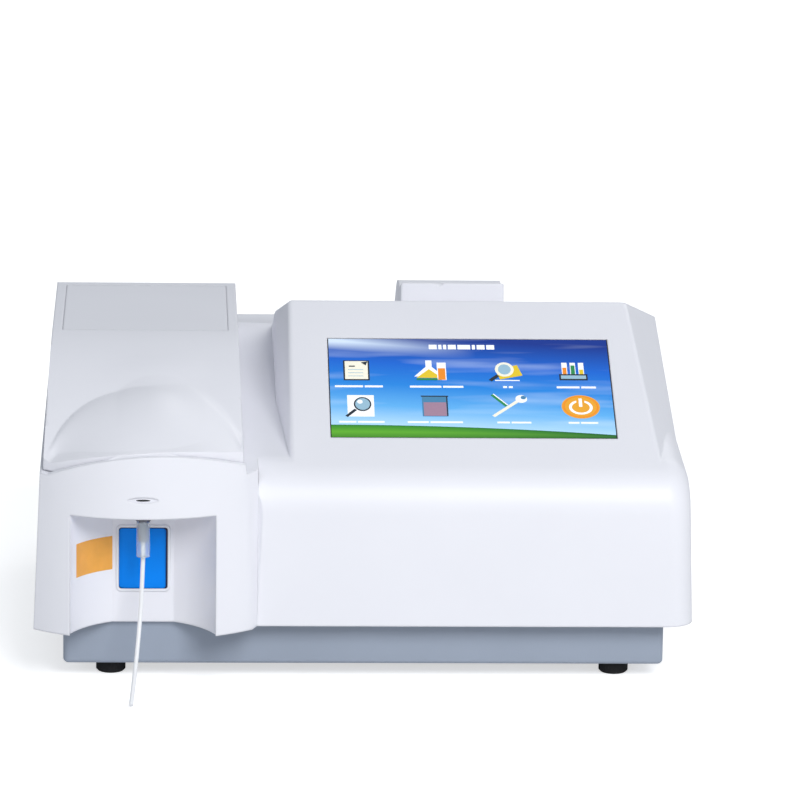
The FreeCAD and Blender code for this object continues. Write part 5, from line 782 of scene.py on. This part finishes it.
# %% [markdown]
# ## Sticker in the niche
# A plain amber film is stuck on the curved left wall of the niche. A flat sheet is set up in front
# of the wall, divided finely, and pressed back onto the wall with a shrinkwrap modifier, so that it
# follows the curve. A solidify modifier then gives it its tenth of a millimetre.

# %% Amber film
FILM_LEFT, FILM_RIGHT = -0.155, -0.1361
FILM_LOW, FILM_HIGH = 0.0619, 0.0804
FILM_START = -0.1515
FILM_LIFT = 0.00006
FILM_THICK = 0.00012
FILM_COLUMNS, FILM_ROWS = 30, 8

bpy.ops.mesh.primitive_grid_add(x_subdivisions=FILM_COLUMNS, y_subdivisions=FILM_ROWS, size=1)
film = bpy.context.object
film.name = "niche_film"
film.scale = (FILM_RIGHT - FILM_LEFT, FILM_HIGH - FILM_LOW, 1)
film.rotation_euler = (math.radians(90), 0, 0)
film.location = ((FILM_LEFT + FILM_RIGHT) / 2, FILM_START, (FILM_LOW + FILM_HIGH) / 2)
set_down(film)
work(film, "SHRINKWRAP", target=skins["top_cover"], wrap_method="PROJECT", use_project_y=True,
     use_positive_direction=True, use_negative_direction=False, offset=FILM_LIFT)
work(film, "SOLIDIFY", thickness=FILM_THICK, offset=1)
dress(film, amber_film, "case")
print("film", len(film.data.polygons), "faces")

# %% [markdown]
# ## Console flank
# The flank of the console that looks at the lid is steep, so that only a narrow strip of it is seen
# from the front. On the merged copy the foot of its wall is moved towards the screen. The sloping
# face above it stays flat, because its foot and its back corner move by the same step.

# %% Steeper flank
FLANK_STEP = 0.0118
FLANK_LEFT, FLANK_RIGHT = -0.0600, -0.0534
FLANK_FRONT, FLANK_REAR = -0.026, 0.1365
FLANK_LOW = 0.1235

moved = 0
for corner in skins["top_cover"].data.vertices:
    x, y, z = corner.co
    if FLANK_LEFT < x < FLANK_RIGHT and FLANK_FRONT < y < FLANK_REAR and z > FLANK_LOW:
        corner.co.x += FLANK_STEP
        moved += 1
print("flank corners moved", moved)

# %% [markdown]
# ## The bulge of the lid
# Behind the arched front wall the lid swells into a low dome: its back edge is a crescent that
# stands out on the left and melts into the slope on the right, where the light comes from. It is a
# grid that is laid over the lid. Each of its points looks down on the lid for its height, and
# inside the crescent it is lifted onto a curve that leaves the front wall steeply and ends flat.

# %% Dome over the lid
LID_MIDDLE = -0.1195
LID_PLAIN_PLACE = -0.16
LID_DRAFT = math.tan(math.radians(2.3))
LID_FLANK_LEVEL = 0.1195
LID_THICK = 0.0022
DECK_SLOPE = math.tan(math.radians(4.5))
FRONT_CENTRE, FRONT_RADIUS = -0.0636, 0.0853
CREST_MIDDLE, CREST_TOP, CREST_RADIUS = -0.112, 0.132, 0.13
DOME_START, DOME_STOP = -0.1487, -0.022
DOME_ROWS, DOME_COLUMNS = 116, 110
DOME_LIFT = 0.00003
DOME_SMOOTH = math.radians(40)
DOME_PEAK, DOME_LEFT_HALF, DOME_RIGHT_HALF = -0.121, 0.0515, 0.056
DOME_FRONT, DOME_BACK = -0.1489, -0.0735
DOME_RISE, DOME_FLAT = 0.52, -0.04
DOME_LEAST = 0.002
DOME_ASIDE = 0.0001
DOME_TRIES = 3
PAST_FALL = 14
MELT_START, MELT_LENGTH = 0.004, 0.03
SHARP_BLEND, SOFT_BLEND = 0.0004, 0.0045
SLOPE_STEP = 0.004
SWELL, SWELL_HALF = 0.0011, 0.032
SWELL_START, SWELL_FULL, SWELL_STOP = -0.082, -0.055, -0.023
FAR_ABOVE, FAR_ASIDE = 0.3, 0.2
NARROW_HALF = 0.02

lid_tree = BVHTree.FromObject(skins["tower_lid"], bpy.context.evaluated_depsgraph_get())


def lid_side(y, level, way):
    """Where the lid's flank is at this depth and level, or a narrow front where there is none."""
    seen_from = Vector((LID_MIDDLE + way * FAR_ASIDE, y, level))
    hit = lid_tree.ray_cast(seen_from, Vector((-way, 0, 0)))[0]
    return hit.x if hit else LID_MIDDLE + way * NARROW_HALF


def lid_height(x, y):
    """How high the lid is at a point seen from above."""
    hit = lid_tree.ray_cast(Vector((x, y, FAR_ABOVE)), Vector((0, 0, -1)))[0]
    return hit.z if hit else None


def ease(start, stop, value):
    """0 before start, 1 past stop and a soft step between them."""
    share = min(1, max(0, (value - start) / (stop - start)))
    return share * share * (3 - 2 * share)


def hermite(s, start, start_slope, end, end_slope):
    """A cubic from start to end, for s from 0 to 1, with a slope at each end."""
    return (
        (2 * s ** 3 - 3 * s ** 2 + 1) * start
        + (s ** 3 - 2 * s ** 2 + s) * start_slope
        + (3 * s ** 2 - 2 * s ** 3) * end
        + (s ** 3 - s ** 2) * end_slope
    )


def crescent(x):
    """How far back the dome reaches at x."""
    half = DOME_LEFT_HALF if x < DOME_PEAK else DOME_RIGHT_HALF
    share = min(1, abs(x - DOME_PEAK) / half)
    return DOME_FRONT + (DOME_BACK - DOME_FRONT) * math.sqrt(1 - share * share)


def ground_height(x, y, crest):
    """Height of the lid without the dome: the end of its raised middle is faded out."""
    ground = lid_height(x, y)
    if ground is None:
        ground = crest
    if y > SWELL_START:
        inside = max(0, 1 - ((x - CREST_MIDDLE) / SWELL_HALF) ** 2)
        along = ease(SWELL_START, SWELL_FULL, y) * (1 - ease(SWELL_FULL, SWELL_STOP, y))
        ground = max(ground, lid_height(LID_PLAIN_PLACE, y) + SWELL * inside * inside * along)
    return ground


def dome_height(x, y):
    """Height of the lid with its dome at x and y."""
    crest = CREST_TOP - CREST_RADIUS + math.sqrt(CREST_RADIUS ** 2 - (x - CREST_MIDDLE) ** 2)
    ground = ground_height(x, y, crest)
    front = FRONT_CENTRE - math.sqrt(max(0, FRONT_RADIUS ** 2 - (x - LID_MIDDLE) ** 2))
    back = crescent(x)
    run = back - front
    end = lid_height(x, back)
    if run <= DOME_LEAST or end is None:
        return ground
    slope = ((lid_height(x, back + SLOPE_STEP) or end) - end) / SLOPE_STEP
    melt = min(1, max(0, (x - DOME_PEAK - MELT_START) / MELT_LENGTH))
    flat = DOME_FLAT + (slope - DOME_FLAT) * ease(0, 1, melt)
    s = min(1, max(0, (y - front) / run))
    past = max(0, y - back)
    lifted = hermite(s, crest, run * DOME_RISE, end, run * flat) + past * flat - PAST_FALL * past * past
    soft = SHARP_BLEND + SOFT_BLEND * melt
    near = max(0, soft - abs(ground - lifted))
    return max(ground, lifted) + near * near / (4 * soft) * s


bpy.ops.mesh.primitive_grid_add(x_subdivisions=DOME_COLUMNS, y_subdivisions=DOME_ROWS, size=1)
dome = bpy.context.object
dome.name = "lid_dome"
for corner in dome.data.vertices:
    across_share, along_share = corner.co.x + 0.5, corner.co.y + 0.5
    y = DOME_START + (DOME_STOP - DOME_START) * along_share
    level = LID_FLANK_LEVEL + (y - DOME_START) * DECK_SLOPE
    left, right = lid_side(y, level, -1), lid_side(y, level, 1)
    z = CREST_RADIUS
    for attempt in range(DOME_TRIES):
        lean = LID_DRAFT * (z - level) + DOME_ASIDE
        x = left + lean + (right - left - 2 * lean) * across_share
        z = dome_height(x, y)
    corner.co = (x, y, z + DOME_LIFT)
work(dome, "SOLIDIFY", thickness=LID_THICK, offset=-1)
dress(dome, dome_white, "lid", limit=DOME_SMOOTH)
dome_top = max(corner.co.z for corner in dome.data.vertices)
print("dome", len(dome.data.polygons), "faces, top", round(dome_top / MM, 1), "mm")

# %% [markdown]
# The panel on top of the lid lies in a shallow recess. A thin plate fills most of it, so that only
# a hair line is left round its edge.

# %% Panel in the lid
PANEL_HALF = 0.04605
PANEL_FRONT, PANEL_REAR = 0.0053, 0.1197
PANEL_LOW, PANEL_TOP = 0.16435, 0.16494
PANEL_ROUNDING = 0.00015
PANEL_SMOOTH = math.radians(5)

panel = slab("lid_panel", (LID_MIDDLE, (PANEL_FRONT + PANEL_REAR) / 2, (PANEL_LOW + PANEL_TOP) / 2),
             (2 * PANEL_HALF, PANEL_REAR - PANEL_FRONT, PANEL_TOP - PANEL_LOW), PANEL_ROUNDING)
dress(panel, case_white, "lid", limit=PANEL_SMOOTH)

# %% [markdown]
# ## Printer door
# The real door's top falls away to the back, so from the front only its face shows. The points of
# the merged copy are moved down the further back they are, and left alone near the hinge. A small
# round notch for a fingertip is then cut into the top edge with a boolean modifier.

# %% Falling top and notch
TOP_FRONT = 0.0493
TOP_FALL = 0.34
MOST_FALL = 0.0066
HINGE_CLEAR_LOW, HINGE_CLEAR_HIGH = 0.156, 0.168
NOTCH_PLACE = (0.0468, 0.0488, 0.1836)
NOTCH_RADIUS = 0.0023
NOTCH_SEGMENTS, NOTCH_RINGS = 24, 12

door = skins["printer_door"]
for corner in door.data.vertices:
    fall = min(MOST_FALL, max(0, corner.co.y - TOP_FRONT) * TOP_FALL)
    share = (corner.co.z - HINGE_CLEAR_LOW) / (HINGE_CLEAR_HIGH - HINGE_CLEAR_LOW)
    corner.co.z -= fall * min(1, max(0, share))
deselect()
bpy.ops.mesh.primitive_uv_sphere_add(segments=NOTCH_SEGMENTS, ring_count=NOTCH_RINGS,
                                     radius=NOTCH_RADIUS, location=NOTCH_PLACE)
tip = bpy.context.object
set_down(tip)
faces_before = len(door.data.polygons)
work(door, "BOOLEAN", operation="DIFFERENCE", solver="EXACT", object=tip)
bpy.data.objects.remove(tip)
smooth(door)
print("door", faces_before, "faces, then", len(door.data.polygons))

# %% [markdown]
# ## Round the key
# The key sits in a frame with round corners, a little proud of the niche wall. A plane gets its
# corners rounded, an inset makes the band, the middle is taken out and the band is drawn forward.
# A second, flatter ring in dark blue lies behind it, a little to the left and lower, so it shows only
# along the key's top and right edge: it is painted shadow, the shade that the frame casts into the gap.

# %% Key frame and painted shadow in the gap
KEY_MIDDLE = Vector((-0.1195, -0.11912, 0.06805))
KEY_WIDE, KEY_TALL = 0.0262, 0.0341
FRAME_CORNER, FRAME_BAND, FRAME_DEEP = 0.0014, 0.0016, 0.00115
SHADOW_RING_WIDE, SHADOW_RING_TALL = 0.0251, 0.0335
SHADOW_RING_CORNER, SHADOW_RING_BAND, SHADOW_RING_DEEP = 0.0016, 0.0011, 0.0006
SHADOW_RING_SHIFT = Vector((-0.0004, 0, -0.0003))
CORNER_PIECES = 7


def ring_on_wall(name, middle, wide, tall, corner, band, deep):
    """A flat ring with round corners that faces the front: wide and tall are its opening."""
    bpy.ops.mesh.primitive_plane_add(size=1)
    ring = bpy.context.object
    ring.name = name
    ring.scale = (wide + 2 * band, tall + 2 * band, 1)
    set_down(ring)
    bpy.ops.object.mode_set(mode="EDIT")
    bpy.ops.mesh.select_all(action="SELECT")
    bpy.ops.mesh.bevel(offset=corner + band, segments=CORNER_PIECES, affect="VERTICES")
    bpy.ops.mesh.select_all(action="SELECT")
    bpy.ops.mesh.inset(thickness=band)
    bpy.ops.mesh.delete(type="FACE")
    bpy.ops.mesh.select_all(action="SELECT")
    bpy.ops.mesh.extrude_region_move(TRANSFORM_OT_translate={"value": (0, 0, deep)})
    bpy.ops.mesh.select_all(action="SELECT")
    bpy.ops.mesh.normals_make_consistent(inside=False)
    bpy.ops.object.mode_set(mode="OBJECT")
    ring.rotation_euler = (math.radians(90), 0, 0)
    ring.location = middle
    set_down(ring)
    print(name, len(ring.data.polygons), "faces")
    return ring


key_frame = ring_on_wall("key_frame", KEY_MIDDLE, KEY_WIDE, KEY_TALL, FRAME_CORNER, FRAME_BAND, FRAME_DEEP)
dress(key_frame, case_white, "case")
# This dark ring is painted shadow, not a part: it stands for the shade in the gap round the key.
key_gap = ring_on_wall("key_gap", KEY_MIDDLE + SHADOW_RING_SHIFT, SHADOW_RING_WIDE, SHADOW_RING_TALL, SHADOW_RING_CORNER, SHADOW_RING_BAND, SHADOW_RING_DEEP)
dress(key_gap, painted_gap_shadow, "case")

# %% [markdown]
# The clear sleeve shows the end of the needle in it: a short white rod over the hanging tube.

# %% Needle in the sleeve
NEEDLE_FOOT, NEEDLE_TOP = 0.0735, 0.0822
NEEDLE_RADIUS = TUBE_RADIUS * 0.95
NEEDLE_SIDES = 24
NEEDLE_MIDDLE = (*TUBE_POINTS[0][:2], (NEEDLE_FOOT + NEEDLE_TOP) / 2)

bpy.ops.mesh.primitive_cylinder_add(vertices=NEEDLE_SIDES, radius=NEEDLE_RADIUS,
                                    depth=NEEDLE_TOP - NEEDLE_FOOT, location=NEEDLE_MIDDLE)
needle_end = bpy.context.object
needle_end.name = "needle_end"
set_down(needle_end)
dress(needle_end, needle_white, "case")

# %% [markdown]
# The slit over the niche is a shallow dimple with a fine line of painted shade in it. A plate closes the
# CAD slit a millimetre behind the surface, and a dark almond in the middle of the plate is that painted
# shade.

# %% Dimple
SLIT_MIDDLE = Vector((-0.1195, -0.1519, 0.1086))
DIMPLE_SIDES = Vector((0.0188, 0.0008, 0.0042))
DIMPLE_ROUNDING = 0.0003
ALMOND_HALF_WIDE, ALMOND_HALF_TALL, ALMOND_THICK = 0.0038, 0.00055, 0.0003
ALMOND_SHIFT = Vector((0, -0.00004, -0.0001))
ALMOND_SIDES = 40

dimple = slab("slit_floor", SLIT_MIDDLE + Vector((0, DIMPLE_SIDES.y / 2, 0)), DIMPLE_SIDES, DIMPLE_ROUNDING)
dress(dimple, case_white, "case")
# painted shade: the dark almond stands for the shade deep in the slit
bpy.ops.mesh.primitive_circle_add(vertices=ALMOND_SIDES, radius=1, fill_type="NGON",
                                  rotation=(math.radians(90), 0, 0))
almond = bpy.context.object
almond.name = "slit_line"
almond.scale = (ALMOND_HALF_WIDE, ALMOND_HALF_TALL, 1)
almond.location = SLIT_MIDDLE + ALMOND_SHIFT
set_down(almond)
work(almond, "SOLIDIFY", thickness=ALMOND_THICK)
paint(almond, black_mould)
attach(almond, "case")
